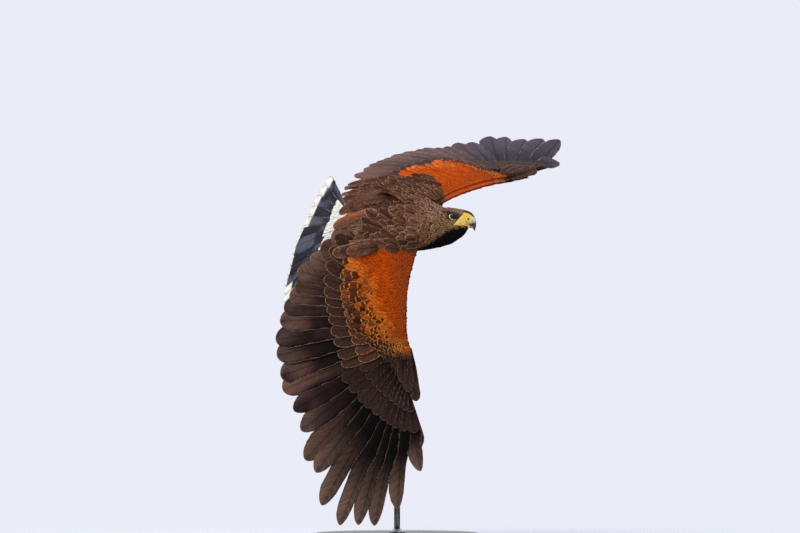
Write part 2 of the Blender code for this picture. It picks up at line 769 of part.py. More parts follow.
def spacing(plan, index, distance):
    """Return how far a feather's shaft lies from the next ones outwards and inwards."""
    root, along = plan[index][0], plan[index][1]
    here = root + distance * along
    apart = []
    for other in (index - 1, index + 1):
        if 0 <= other < len(plan):
            offset = here - plan[other][0]
            other_along = plan[other][1]
            apart.append(abs(offset[0] * other_along[1] - offset[1] * other_along[0]))
        else:
            apart.append(None)
    return [apart[1 - k] if apart[k] is None else apart[k] for k in (0, 1)]


def tier(layout, plan, shapes, width, heights, outline):
    """Make a tier of vanes: one for each feather of the plan that the shapes give a length.

    A vane starts inside the flesh, rises from the first height to the second and is tilted
    so that its leading edge lies a step over the trailing edge of the next vane outwards.
    """
    place, directions = layout
    vanes = []
    for index, (start, length, turn) in enumerate(shapes):
        if length <= 0.0:
            continue
        root, flat, _, finger, share, droop, lift, twist = plan[index]
        out, fore, top = directions(share)
        angle = math.radians(turn)
        flat = np.array((
            flat[0] * math.cos(angle) + flat[1] * math.sin(angle),
            flat[1] * math.cos(angle) - flat[0] * math.sin(angle),
        ))
        side = -flat[1] * out + flat[0] * fore
        along = math.cos(droop) * (flat[0] * out + flat[1] * fore) - math.sin(droop) * top
        top = math.cos(droop) * top + math.sin(droop) * (flat[0] * out + flat[1] * fore)
        base = place(root[0], root[1], 0.0, share) + start * along
        stations = []
        for part, breadth, thick in outline(finger):
            distance = part * length
            ahead, behind = spacing(plan, index, start + distance)
            full = width * breadth
            lead = min(full * (0.47 - 0.09 * finger), 0.66 * ahead + 0.001)
            trail = min(full * (0.53 + 0.09 * finger), 0.66 * behind + 0.001)
            tilt = math.asin(min(VANE_STEP / (0.5 * (ahead + behind)), 0.20))
            rise = heights[0] + (heights[1] - heights[0]) * min(part / RISE_PART, 1.0)
            rise += camber(*(root + (start + distance) * flat)) - camber(*root)
            if outline is long_outline:
                rise += lift * max(part - 0.5, 0.0) ** 2 / 0.25
                tilt += twist * smooth_share(part, 0.4, 0.7)
            stations.append((distance, lead, trail, rise, tilt, thick))
        vanes.append(vane("vane", base, along, side, top, stations))
    return vanes


def long_outline(finger):
    """Return place, width and thickness along a flight feather, cut in where it is a finger."""
    if finger == 0.0:
        return (0.0, 0.30, 1.0), (0.45, 1.0, 1.0), (0.90, 0.84, 0.9), (1.0, 0.34, 0.8)
    cut = 1.0 - 0.30 * finger
    return (
        (0.0, 0.30, 1.0), (0.34, 1.0, 1.0), (0.62, cut, 1.0), (0.92, 0.80 * cut, 0.9), (1.0, 0.30, 0.8),
    )


def short_outline(_=0.0):
    """Return place, width and thickness along a scapular or a feather of the thumb."""
    return (0.0, 0.50, 1.0), (0.50, 1.0, 1.0), (0.90, 0.84, 0.9), (1.0, 0.36, 0.8)


def tail_outline(_=0.0):
    """Return place, width and thickness along a tail feather."""
    return (0.0, 0.45, 1.0), (0.50, 0.92, 1.0), (0.93, 1.0, 0.9), (1.0, 0.50, 0.8)


def plain_outline(_=0.0):
    """Return place, width and thickness along a covert."""
    return (0.0, 0.55, 1.0), (0.74, 1.0, 1.0), (1.0, 0.50, 0.8)


def free_vane(layout, place_at, back, length, width, heights, share, tilt):
    """Make one short vane that starts at a flat place and lies between two heights."""
    place, directions = layout
    out, fore, top = directions(share)
    flat = flat_direction(back)
    along = flat[0] * out + flat[1] * fore
    side = -flat[1] * out + flat[0] * fore
    base = place(place_at[0], place_at[1], 0.0, share)
    stations = []
    for part, breadth, thick in short_outline():
        rise = heights[0] + (heights[1] - heights[0]) * min(part / 0.5, 1.0)
        rise += camber(*(np.array(place_at) + part * length * flat)) - camber(*place_at)
        half = width * breadth / 2
        stations.append((part * length, half, half, rise, tilt, thick))
    return vane("vane", base, along, side, top, stations)


def wing_solid(name, held):
    """Make a wing: its flesh, flight feathers, coverts above and below, alula and scapulars."""
    layout = wing_layout(held)
    plan = flight_feathers(held)
    primaries = len(held["primaries"])
    secondaries = len(SECONDARY_LENGTH)
    inner = len(plan) - primaries - secondaries

    flight = [(0.0, feather[2], 0.0) for feather in plan]
    pieces = tier(layout, plan, flight, FLIGHT_WIDTH, (0.0, 0.0), long_outline)

    greater = [(0.0, 0.0, 0.0)]
    for rank in range(1, primaries):
        share = rank / (primaries - 1)
        reach = GREATER_REACH[0] + share * (GREATER_REACH[1] - GREATER_REACH[0])
        inset = float(np.linalg.norm(plan[rank][0] - np.array(WRIST)))
        greater.append((ROOT_STEP, reach - 0.9 * inset, 0.0))
    greater += [(ROOT_STEP, GREATER_LENGTH, 0.0)] * (secondaries + 1)
    greater += [(0.0, 0.0, 0.0)] * (inner - 1)
    pieces += tier(layout, plan, greater, GREATER_WIDTH, (COVERT_ROOT, GREATER_LAYER), plain_outline)

    median = []
    for rank in range(primaries):
        share = rank / (primaries - 1)
        reach = MEDIAN_REACH[0] + share * (MEDIAN_REACH[1] - MEDIAN_REACH[0])
        inset = float(np.linalg.norm(plan[rank][0] - np.array(WRIST)))
        median.append((ROOT_STEP, (reach - 0.9 * inset) * (rank % 2), 0.0))
    median += [(2 * ROOT_STEP, MEDIAN_LENGTH, -3.0)] * secondaries + [(0.0, 0.0, 0.0)] * inner
    heights = (2 * COVERT_ROOT, MEDIAN_LAYER)
    pieces += tier(layout, plan, median, GREATER_WIDTH, heights, plain_outline)

    under = [(ROOT_STEP, UNDER_LENGTH * (rank % 3 == 1), 0.0) for rank in range(len(plan))]
    pieces += tier(layout, plan, under, UNDER_WIDTH, (-COVERT_ROOT, UNDER_LAYER), plain_outline)

    for rank, length in enumerate(ALULA_LENGTHS):
        place_at = (WRIST[0] + 0.004, WRIST[1] + 0.0145 - 0.0045 * rank)
        heights = (COVERT_ROOT, MEDIAN_LAYER + VANE_STEP * rank)
        back = 5.0 * rank - 8.0
        pieces.append(free_vane(layout, place_at, back, length, ALULA_WIDTH, heights, 1.0, 0.05))
    for rank in range(SCAPULARS):
        share = rank / (SCAPULARS - 1)
        heights = (2 * COVERT_ROOT, SCAPULAR_LAYER + VANE_STEP * rank)
        start, back, length = (
            (1 - share) * first + share * last
            for first, last in (SCAPULAR_START, SCAPULAR_BACK, SCAPULAR_LENGTH)
        )
        pieces.append(free_vane(
            layout, (start, SCAPULAR_FORE), back, length, SCAPULAR_WIDTH, heights, 0.0, 0.06,
        ))
    return combine(arm_solid(name, layout[0]), pieces, "UNION")


def tail_solid(name):
    """Make the tail: its flesh, the fan of long feathers and the coverts over and under it."""
    axis, right, _ = frame_of(TAIL_AXIS, TAIL_RIGHT)
    up = np.cross(right, -axis)
    base = body_point(TAIL_BASE_AHEAD, TAIL_BASE_DROP, 0.0)

    def fan_tier(number, half_fan, length, width, heights, outline):
        """Make a tier of the fan; the feathers in its middle lie over those at its sides."""
        vanes = []
        for rank in range(number):
            across = (2 * rank - number + 1) / (number - 1)
            angle = half_fan * across
            along = math.cos(angle) * axis + math.sin(angle) * right
            side = math.cos(angle) * right - math.sin(angle) * axis
            root = base + TAIL_ROOT_HALF_WIDTH * across * right
            reach = length - TAIL_OUTER_SHORTER * across ** 2
            face = -1 if heights[1] < 0.0 else 1
            turn = 0 if abs(across) < 1.2 / (number - 1) else face * math.copysign(1, across)
            lift = face * TAIL_MIDDLE_LIFT * (1 + (across > 0)) if turn == 0 else 0.0
            stations = []
            for part, breadth, thick in outline():
                distance = part * reach
                apart = 2 * (TAIL_ROOT_HALF_WIDTH + distance * half_fan) / (number - 1)
                half = min(width * breadth / 2, 0.66 * apart + 0.001)
                tilt = turn * math.asin(min(VANE_STEP / apart, 0.20))
                rise = lift + heights[0] + (heights[1] - heights[0]) * min(part / RISE_PART, 1.0)
                stations.append((distance, half, half, rise, tilt, thick))
            vanes.append(vane("vane", root, along, side, up, stations))
        return vanes

    pieces = fan_tier(TAIL_FEATHERS, TAIL_HALF_FAN, TAIL_LENGTH, TAIL_WIDTH, (0.0, 0.0), tail_outline)
    pieces += fan_tier(
        TAIL_COVERTS, 0.9 * TAIL_HALF_FAN, UPPER_TAIL_COVERT, TAIL_COVERT_WIDTH,
        (COVERT_ROOT, TAIL_COVERT_LAYER), plain_outline,
    )
    pieces += fan_tier(
        TAIL_COVERTS - 2, 0.9 * TAIL_HALF_FAN, UNDER_TAIL_COVERT, TAIL_COVERT_WIDTH,
        (-COVERT_ROOT, -TAIL_COVERT_LAYER), plain_outline,
    )
    core = []
    for along, half_width, half in TAIL_CORE:
        core.append(egg_ring(base + along * axis, up, right, half_width, half, half, 14))
    return combine(loft(name, core), pieces, "UNION")


def leg_points(side):
    """Return the ankle and the foot's root of one leg."""
    ankle = body_point(ANKLE[0], ANKLE[1], side * ANKLE[2])
    aim = unit(SHANK_AIM[0] * BODY_FORWARD + SHANK_AIM[1] * BODY_UP + SHANK_AIM[2] * BODY_RIGHT)
    return ankle, aim, ankle + SHANK_LENGTH * aim


def thigh_solid(name, side, grow=0.0):
    """Make a feathered thigh that lies back along the belly, or the same shape larger."""
    hip = body_point(HIP[0], HIP[1], side * HIP[2])
    ankle, _, _ = leg_points(side)
    along = unit(ankle - hip)
    path = [hip + t * (ankle - hip) for t in THIGH_PLACES]
    path[-1] = path[-1] + grow * along
    return tube(name, path, np.array(THIGH_RADII) + grow, 16, BODY_UP)


def shank_solid(name, side):
    """Make the bare shank between ankle and toes."""
    ankle, aim, _ = leg_points(side)
    path = [ankle + t * SHANK_LENGTH * aim for t in SHANK_PLACES]
    bone = tube(name, path, SHANK_RADII, 10, BODY_UP)
    return combine(bone, [thigh_solid("grown thigh", side, GAP)], "DIFFERENCE")


def toe_path(side, spread, length):
    """Return the points of one toe, which curls down from the end of the shank."""
    _, aim, foot = leg_points(side)
    sole = unit(-BODY_UP - aim * np.dot(-BODY_UP, aim))
    across = np.cross(aim, sole) * side
    turn = math.radians(spread)
    forward = math.cos(turn) * aim + math.sin(turn) * across
    start = foot + TOE_START * aim
    if spread == 180:
        forward = unit(0.35 * -aim + 0.94 * sole)
        curl = aim
    else:
        curl = sole
    path = []
    for bend in TOE_CURL * np.linspace(0.0, 1.0, len(TOE_TAPER)):
        path.append(start + length / TOE_CURL * (math.sin(bend) * forward + (1 - math.cos(bend)) * curl))
    return np.array(path), curl


def foot_solid(name, side):
    """Make a foot: a pad and four toes, joined."""
    _, aim, foot = leg_points(side)
    pad = tube(name, [foot + place * aim for place in PAD_PLACES], PAD_RADII, 12, BODY_UP)
    toes = []
    for _, spread, length, _ in TOES:
        path, _ = toe_path(side, spread, length)
        toes.append(tube("toe", path, TOE_RADIUS * np.array(TOE_TAPER), 6, BODY_UP))
    return combine(pad, toes, "UNION")


def claw_solid(name, side, spread, length, claw):
    """Make a curved claw that starts at the end of its toe."""
    path, curl = toe_path(side, spread, length)
    ahead = unit(path[-1] - path[-2])
    curl = unit(curl - ahead * np.dot(curl, ahead))
    if spread == 180:
        curl = -curl if np.dot(curl, leg_points(side)[1]) < 0 else curl
    start = path[-1] + GAP * 1.5 * ahead
    points = []
    for bend in CLAW_CURL * np.linspace(0.0, 1.0, len(CLAW_RADII)):
        points.append(start + claw / CLAW_CURL * (math.sin(bend) * ahead + (1 - math.cos(bend)) * curl))
    return tube(name, points, CLAW_RADII, 6, BODY_UP)


def turned_solid(name, sides, outline):
    """Make a round upright piece of the stand from radii and heights."""
    angles = np.arange(sides) * 2 * math.pi / sides
    circle = np.stack((np.cos(angles), np.sin(angles), np.zeros(sides)), axis=1)
    return loft(name, [circle * radius + np.array((0.0, 0.0, height)) for radius, height in outline])



def main():
    for old in list(bpy.data.objects):
        bpy.data.objects.remove(old)

    brown = material("dark brown feathers", (0.055, 0.028, 0.018), 0.75)
    rust = material("rust wing feathers", (0.16, 0.05, 0.02), 0.7)
    slate = material("tail feathers", (0.02, 0.019, 0.021), 0.6)
    yellow = material("yellow skin", (0.75, 0.45, 0.06), 0.45)
    horn = material("dark horn", (0.03, 0.03, 0.035), 0.3)
    eye = material("eye", (0.03, 0.012, 0.006), 0.05)
    wood = material("dark wood", (0.06, 0.035, 0.02), 0.4)
    steel = material("brushed steel", (0.55, 0.56, 0.57), 0.35, 1.0)

    finish(torso_solid("torso"), brown)
    finish(neck_solid("neck"), brown)
    finish(head_solid("head"), brown)
    finish(eye_solid("eye_left", -1), eye)
    finish(eye_solid("eye_right", 1), eye)
    cere = cere_solid("cere")
    nostrils = []
    for side in (-1, 1):
        ahead, level, radius = NOSTRIL
        path = [head_point(ahead, level, side * aside) for aside in NOSTRIL_ASIDE]
        nostrils.append(tube("nostril", path, (radius * 0.5, radius * 0.7, radius * 0.7), 8, HEAD_TOP))
    finish(combine(cere, nostrils, "DIFFERENCE"), yellow)
    finish(upper_bill_solid("bill_upper"), horn)
    finish(lower_bill_solid("bill_lower"), horn)

    for name, held in (("wing_right", RIGHT_WING), ("wing_left", LEFT_WING)):
        wing = wing_solid(name, held)
        combine(wing, [torso_solid("grown torso", GAP), neck_solid("grown neck", GAP)], "DIFFERENCE")
        finish(wing, rust)
    tail = tail_solid("tail")
    combine(tail, [torso_solid("grown torso", GAP)], "DIFFERENCE")
    finish(tail, slate)

    for side, word in ((-1, "left"), (1, "right")):
        thigh = thigh_solid("thigh_" + word, side)
        combine(thigh, [torso_solid("grown torso", GAP)], "DIFFERENCE")
        finish(thigh, brown)
        finish(shank_solid("shank_" + word, side), yellow)
        finish(foot_solid("foot_" + word, side), yellow)
        for toe, spread, length, claw in TOES:
            finish(claw_solid("claw_" + word + "_" + toe, side, spread, length, claw), horn)

    rim = 0.3 * BASE_BEVEL
    finish(turned_solid("stand_base", 44, (
        (BASE_RADIUS - rim, 0.0), (BASE_RADIUS, rim), (BASE_RADIUS, BASE_HEIGHT - BASE_BEVEL),
        (BASE_RADIUS - rim, BASE_HEIGHT - rim), (BASE_RADIUS - BASE_BEVEL, BASE_HEIGHT),
    )), wood)
    collar_top = BASE_HEIGHT + COLLAR_HEIGHT
    finish(turned_solid("stand_collar", 20, (
        (COLLAR_RADIUS, BASE_HEIGHT + GAP), (COLLAR_RADIUS, collar_top - rim),
        (COLLAR_RADIUS - rim, collar_top),
    )), steel)
    rod = turned_solid("stand_rod", 16, ((ROD_RADIUS, collar_top + GAP), (ROD_RADIUS, ROD_TOP)))
    combine(rod, [torso_solid("grown torso", GAP)], "DIFFERENCE")
    finish(rod, steel)


main()
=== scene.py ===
import math

import bmesh
import bpy
import numpy as np
from mathutils import Matrix


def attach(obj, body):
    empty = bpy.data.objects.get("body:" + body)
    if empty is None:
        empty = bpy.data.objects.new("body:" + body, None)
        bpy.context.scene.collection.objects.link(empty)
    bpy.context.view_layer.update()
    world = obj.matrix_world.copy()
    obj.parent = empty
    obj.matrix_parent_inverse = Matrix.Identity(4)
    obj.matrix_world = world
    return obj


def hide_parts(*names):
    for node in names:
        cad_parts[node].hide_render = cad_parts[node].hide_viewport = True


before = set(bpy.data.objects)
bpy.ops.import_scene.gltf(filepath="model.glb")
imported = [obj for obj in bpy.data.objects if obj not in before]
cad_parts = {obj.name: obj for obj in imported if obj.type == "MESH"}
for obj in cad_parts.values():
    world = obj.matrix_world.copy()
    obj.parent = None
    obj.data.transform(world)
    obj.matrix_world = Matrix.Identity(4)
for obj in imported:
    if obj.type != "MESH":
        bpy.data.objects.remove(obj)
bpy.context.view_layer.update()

rng = np.random.default_rng(11)
print("frame loaded:", len(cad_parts), "nodes")


# small helpers

# length one along the last axis
def unit(v):
    v = np.asarray(v, float)
    return v / np.maximum(np.linalg.norm(v, axis=-1, keepdims=True), 1e-12)


# the second direction made square to the first, and their cross
def squareFrame(first, second):
    first = unit(first)
    second = unit(second - first * np.sum(first * second, -1, keepdims=True))
    return first, second, np.cross(first, second)


# 3t^2 - 2t^3 between a and b
def smooth(x, a, b):
    t = np.clip((np.asarray(x, float) - a) / (b - a), 0, 1)
    return t * t * (3 - 2 * t)


def mix(a, b, t):
    return a + (b - a) * t


# screen colour 0..255 to linear light
def tone(r, g, b):
    c = np.array((r, g, b), float) / 255
    return np.where(c <= 0.04045, c / 12.92, ((c + 0.055) / 1.055) ** 2.4)


# smooth value noise: hashed corners of a cubic lattice, blended by smooth steps
def noise3(p, size, seed=0):
    q = np.asarray(p, float) / size
    i = np.floor(q).astype(np.int64)
    f = q - i
    f = f * f * (3 - 2 * f)
    total = 0.0
    for dx in (0, 1):
        for dy in (0, 1):
            for dz in (0, 1):
                h = (
                    i[..., 0] + dx
                ) * 374761393 + (i[..., 1] + dy) * 668265263 + (i[..., 2] + dz) * 2147483647
                h = (h + seed * 144665) & 0x7FFFFFFF
                h = ((h ^ (h >> 13)) * 1274126177) & 0x7FFFFFFF
                h = ((h ^ (h >> 16)) & 0xFFFF) / 65535.0
                w = np.where(dx, f[..., 0], 1 - f[..., 0]) * np.where(dy, f[..., 1], 1 - f[..., 1])
                total = total + h * w * np.where(dz, f[..., 2], 1 - f[..., 2])
    return total


# Catmull-Rom spline through rows of values, read at places counted in rows
def spline(rows, at):
    rows = np.asarray(rows, float)
    at = np.clip(np.asarray(at, float), 0, len(rows) - 1)
    i = np.minimum(at.astype(int), len(rows) - 2)
    t = (at - i)[:, None]
    a, b = rows[np.maximum(i - 1, 0)], rows[i]
    c, d = rows[i + 1], rows[np.minimum(i + 2, len(rows) - 1)]
    return 0.5 * (
        2 * b + (c - a) * t + (2 * a - 5 * b + 4 * c - d) * t ** 2 + (3 * b - a - 3 * c + d) * t ** 3
    )


# a mesh object from arrays: points, faces, uv maps by name, colours by name
def newPiece(name, points, faces, look, uvs=None, colours=None, node=()):
    mesh = bpy.data.meshes.new(name)
    faces = np.asarray(faces, np.int32)
    mesh.vertices.add(len(points))
    mesh.vertices.foreach_set("co", np.asarray(points, np.float32).ravel())
    mesh.loops.add(faces.size)
    mesh.loops.foreach_set("vertex_index", faces.ravel())
    mesh.polygons.add(len(faces))
    mesh.polygons.foreach_set("loop_start", np.arange(0, faces.size, faces.shape[1], dtype=np.int32))
    mesh.update(calc_edges=True)
    mesh.polygons.foreach_set("use_smooth", np.ones(len(faces), bool))
    for key, uv in (uvs or {}).items():
        layer = mesh.uv_layers.new(name=key)
        layer.uv.foreach_set("vector", np.asarray(uv, np.float32)[faces.ravel()].ravel())
    for key, colour in (colours or {}).items():
        layer = mesh.color_attributes.new(name=key, type="FLOAT_COLOR", domain="POINT")
        layer.data.foreach_set("color", np.asarray(colour, np.float32).ravel())
    mesh.materials.append(look)
    piece = bpy.data.objects.new(name, mesh)
    bpy.context.scene.collection.objects.link(piece)
    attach(piece, "root")
    if node:
        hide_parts(*node)
    print("  piece", name, len(faces), "faces")
    return piece


# faces of a grid of rows by columns; wrap joins the last column to the first
def gridFaces(rows, cols, wrap=False):
    i = np.arange(rows - 1)[:, None] * cols
    j = np.arange(cols if wrap else cols - 1)[None, :]
    k = (j + 1) % cols
    return np.stack((i + j, i + k, i + cols + k, i + cols + j), -1).reshape(-1, 4)


# where the bird is: body, head and wings in metres

bodyHold = {
    "chest": (0.0253, -0.0420, 0.5827),
    "heading": 38.2,
    "climb": -2.9,
    "bank": 52.8,
}
headHold = {
    "centre": (0.1031, -0.0900, 0.5955),
    "ahead": (0.993, 0.0, -0.119),
    "top": (0.119, -0.10, 0.99),
}


# forward from heading and climb, then right and up rolled by the bank
def bodyAxes(hold):
    heading, climb, bank = (math.radians(hold[key]) for key in ("heading", "climb", "bank"))
    forward = np.array((
        math.cos(heading) * math.cos(climb), -math.sin(heading) * math.cos(climb), math.sin(climb),
    ))
    levelRight = unit(np.cross(forward, (0, 0, 1)))
    levelUp = np.cross(levelRight, forward)
    right = math.cos(bank) * levelRight - math.sin(bank) * levelUp
    return forward, right, math.sin(bank) * levelRight + math.cos(bank) * levelUp


bodyForward, bodyRight, bodyUp = bodyAxes(bodyHold)
headAhead, headTop, headRight = squareFrame(np.array(headHold["ahead"]), np.array(headHold["top"]))


def bodyPoint(ahead, above, aside):
    return np.array(bodyHold["chest"]) + ahead * bodyForward + above * bodyUp + aside * bodyRight


def headPoint(ahead, above, aside):
    ahead, above, aside = (np.asarray(v, float)[..., None] for v in (ahead, above, aside))
    return np.array(headHold["centre"]) + ahead * headAhead + above * headTop + aside * headRight


# places on the head in its own directions
def onHead(points):
    away = points - np.array(headHold["centre"])
    return away @ headAhead, away @ headTop, away @ headRight


# the finishes

# a node group with named sockets; build fills it
def newGroup(name, ins, outs):
    group = bpy.data.node_groups.new(name, "ShaderNodeTree")
    for label, kind, value in ins:
        socket = group.interface.new_socket(name=label, in_out="INPUT", socket_type=kind)
        socket.default_value = value
    for label, kind in outs:
        group.interface.new_socket(name=label, in_out="OUTPUT", socket_type=kind)
    return group, group.nodes.new("NodeGroupInput"), group.nodes.new("NodeGroupOutput")


class Wires:
    # short ways to add nodes to one tree and join them
    def __init__(self, tree):
        self.tree = tree

    def node(self, kind, **settings):
        made = self.tree.nodes.new(kind)
        for key, value in settings.items():
            setattr(made, key, value)
        return made

    def put(self, socket, value):
        if hasattr(value, "links"):
            self.tree.links.new(value, socket)
        else:
            socket.default_value = value

    def maths(self, operation, a, b=0.0, clamp=False):
        made = self.node("ShaderNodeMath", operation=operation, use_clamp=clamp)
        self.put(made.inputs[0], a)
        self.put(made.inputs[1], b)
        return made.outputs[0]

    def ramp(self, value, low, high, toLow=0.0, toHigh=1.0):
        made = self.node("ShaderNodeMapRange", interpolation_type="SMOOTHSTEP")
        for socket, part in zip(made.inputs[:5], (value, low, high, toLow, toHigh)):
            self.put(socket, part)
        return made.outputs[0]

    def blend(self, share, a, b, mode="MIX"):
        made = self.node("ShaderNodeMix", data_type="RGBA", blend_type=mode)
        self.put(made.inputs[0], share)
        self.put(made.inputs[6], a)
        self.put(made.inputs[7], b)
        return made.outputs[2]

    # a value as a grey
    def grey(self, value):
        made = self.node("ShaderNodeCombineColor")
        for socket in made.inputs[:3]:
            self.put(socket, value)
        return made.outputs[0]

    def noise(self, vector, scale, detail=2.0, rough=0.5):
        made = self.node("ShaderNodeTexNoise")
        self.put(made.inputs["Vector"], vector)
        made.inputs["Scale"].default_value = scale
        made.inputs["Detail"].default_value = detail
        made.inputs["Roughness"].default_value = rough
        return made.outputs["Fac"]


# a material with one Principled shader; settings go straight on its sockets
def newLook(name, **settings):
    look = bpy.data.materials.new(name)
    look.use_nodes = True
    shader = look.node_tree.nodes["Principled BSDF"]
    for key, value in settings.items():
        shader.inputs[key.replace("_", " ")].default_value = value
    return look, Wires(look.node_tree), shader


# height to the shader's normal
def addBump(wires, shader, height, strength, distance):
    bump = wires.node("ShaderNodeBump")
    bump.inputs["Strength"].default_value = strength
    bump.inputs["Distance"].default_value = distance
    wires.put(bump.inputs["Height"], height)
    wires.put(shader.inputs["Normal"], bump.outputs[0])


# One vane: a shaft line in the middle, barbs that slant out from it, a paler fringe of a
# set width at the rim, wider where its share is full, and faint bars. The fringe's distance from the rim comes from
# the place in metres, as half width times (1 - share) / share.
def buildVaneGroup():
    group, source, sink = newGroup(
        "vanePattern",
        (
            ("Plume", "NodeSocketColor", (0.1, 0.1, 0.1, 1)),
            ("Edging", "NodeSocketColor", (0.3, 0.2, 0.1, 1)),
            ("EdgeShare", "NodeSocketFloat", 0.0),
            ("BarShare", "NodeSocketFloat", 0.0),
            ("BarbScale", "NodeSocketFloat", 1.0),
            ("EdgeWidth", "NodeSocketFloat", 0.001),
        ),
        (("Colour", "NodeSocketColor"), ("Height", "NodeSocketFloat"), ("Gloss", "NodeSocketFloat")),
    )
    w = Wires(group)
    cut, place = (w.node("ShaderNodeSeparateXYZ") for _ in range(2))
    w.put(cut.inputs[0], w.node("ShaderNodeUVMap", uv_map="vane").outputs[0])
    w.put(place.inputs[0], w.node("ShaderNodeUVMap", uv_map="span").outputs[0])
    aside, far = place.outputs[0], place.outputs[1]
    across = w.maths("ABSOLUTE", w.maths("SUBTRACT", w.maths("MULTIPLY", cut.outputs[0], 2.0), 1.0))
    away = w.maths("ABSOLUTE", aside)
    # barbs: noise that is long along the slant and short across it
    slant = w.maths("SUBTRACT", far, w.maths("MULTIPLY", away, 1.1))
    coordinates = w.node("ShaderNodeCombineXYZ")
    w.put(coordinates.inputs[0], slant)
    w.put(coordinates.inputs[1], w.maths("MULTIPLY", aside, 0.10))
    w.put(coordinates.inputs[2], w.maths("MULTIPLY", w.maths("SIGN", aside), 3.0))
    scaled = w.node("ShaderNodeVectorMath", operation="SCALE")
    w.put(scaled.inputs[0], coordinates.outputs[0])
    w.put(scaled.inputs["Scale"], source.outputs["BarbScale"])
    barbs = w.noise(scaled.outputs[0], 900.0, 3.0, 0.65)
    clumps = w.noise(scaled.outputs[0], 170.0, 2.0, 0.5)
    # bars: waves along the vane, bent by the barbs' slant and shifted by the clumps
    wave = w.maths(
        "SINE", w.maths("ADD", w.maths("MULTIPLY", slant, 400.0), w.maths("MULTIPLY", clumps, 7.0)),
    )
    bars = w.maths("MULTIPLY", w.ramp(wave, -0.3, 0.9), source.outputs["BarShare"])
    # the fringe
    sideGap = w.maths(
        "MULTIPLY", away,
        w.maths("DIVIDE", w.maths("SUBTRACT", 1.0, across), w.maths("MAXIMUM", across, 0.08)),
    )
    sideGap = w.maths("ADD", sideGap, w.ramp(across, 0.0, 0.12, 0.01, 0.0))
    fromTip = w.maths("SUBTRACT", 1.0, cut.outputs[1])
    tipGap = w.maths("MULTIPLY", far, w.maths("DIVIDE", fromTip, w.maths("MAXIMUM", cut.outputs[1], 0.05)))
    wide = w.maths("MULTIPLY", source.outputs["EdgeWidth"], w.ramp(clumps, 0.3, 0.7, 0.35, 1.5))
    wide = w.maths("MULTIPLY", wide, w.ramp(source.outputs["EdgeShare"], 0.90, 1.0, 1.0, 1.7))
    gap = w.maths("DIVIDE", w.maths("MINIMUM", sideGap, tipGap), wide)
    rim = w.maths("MULTIPLY", w.ramp(gap, 0.55, 1.35, 1.0, 0.0), w.ramp(barbs, 0.25, 0.55, 0.5, 1.0))
    rim = w.maths("MULTIPLY", rim, w.ramp(cut.outputs[1], 0.25, 0.6, 0.45, 1.0))
    rim = w.maths("MULTIPLY", rim, source.outputs["EdgeShare"], True)
    shade = w.ramp(barbs, 0.28, 0.72, 0.66, 1.30)
    shade = w.maths("MULTIPLY", shade, w.ramp(clumps, 0.25, 0.75, 0.74, 1.24))
    shade = w.maths("MULTIPLY", shade, w.ramp(away, 0.0, 0.004, 0.80, 1.04))
    shade = w.maths("MULTIPLY", shade, w.maths("SUBTRACT", 1.0, w.maths("MULTIPLY", bars, 0.5)))
    colour = w.blend(1.0, source.outputs["Plume"], w.grey(shade), "MULTIPLY")
    colour = w.blend(rim, colour, source.outputs["Edging"])
    shaft = w.ramp(away, 0.0003, 0.0010, 1.0, 0.0)
    shaft = w.maths("MULTIPLY", shaft, w.ramp(cut.outputs[1], 0.75, 1.0, 0.75, 0.0))
    colour = w.blend(w.maths("MULTIPLY", shaft, 0.6), colour, (0.004, 0.003, 0.003, 1))
    w.put(sink.inputs["Colour"], colour)
    w.put(
        sink.inputs["Height"],
        w.maths("ADD", w.maths("MULTIPLY", barbs, 0.6), w.maths("MULTIPLY", shaft, 0.8)),
    )
    w.put(sink.inputs["Gloss"], w.ramp(barbs, 0.2, 0.8, 0.42, 0.64))
    return group


vaneGroup = buildVaneGroup()


# feathers: the marks come from the mesh's own colours, the fine detail from the vane map
def plumageLook(name, barbScale, edgeWidth, shine):
    look, w, shader = newLook(name, Specular_IOR_Level=shine)
    pattern = w.node("ShaderNodeGroup", node_tree=vaneGroup)
    plume = w.node("ShaderNodeVertexColor", layer_name="plume")
    edging = w.node("ShaderNodeVertexColor", layer_name="edging")
    w.put(pattern.inputs["Plume"], plume.outputs["Color"])
    w.put(pattern.inputs["BarShare"], plume.outputs["Alpha"])
    w.put(pattern.inputs["Edging"], edging.outputs["Color"])
    w.put(pattern.inputs["EdgeShare"], edging.outputs["Alpha"])
    pattern.inputs["BarbScale"].default_value = barbScale
    pattern.inputs["EdgeWidth"].default_value = edgeWidth
    w.put(shader.inputs["Base Color"], pattern.outputs["Colour"])
    w.put(shader.inputs["Roughness"], pattern.outputs["Gloss"])
    addBump(w, shader, pattern.outputs["Height"], 0.6, 0.0004)
    return look


flightLook = plumageLook("flightFeathers", 1.0, 0.0015, 0.03)
coatLook = plumageLook("bodyFeathers", 1.5, 0.0014, 0.0)


# down under the feathers: the skin's own colours with a soft, fibrous bump
def downLook():
    look, w, shader = newLook("down", Roughness=0.9, Specular_IOR_Level=0.2)
    plume = w.node("ShaderNodeVertexColor", layer_name="plume")
    place = w.node("ShaderNodeTexCoord")
    fibre = w.noise(place.outputs["Object"], 700.0, 4.0, 0.6)
    grey = w.grey(w.ramp(fibre, 0.3, 0.7, 0.55, 1.15))
    w.put(shader.inputs["Base Color"], w.blend(1.0, plume.outputs["Color"], grey, "MULTIPLY"))
    addBump(w, shader, fibre, 0.7, 0.0006)
    return look


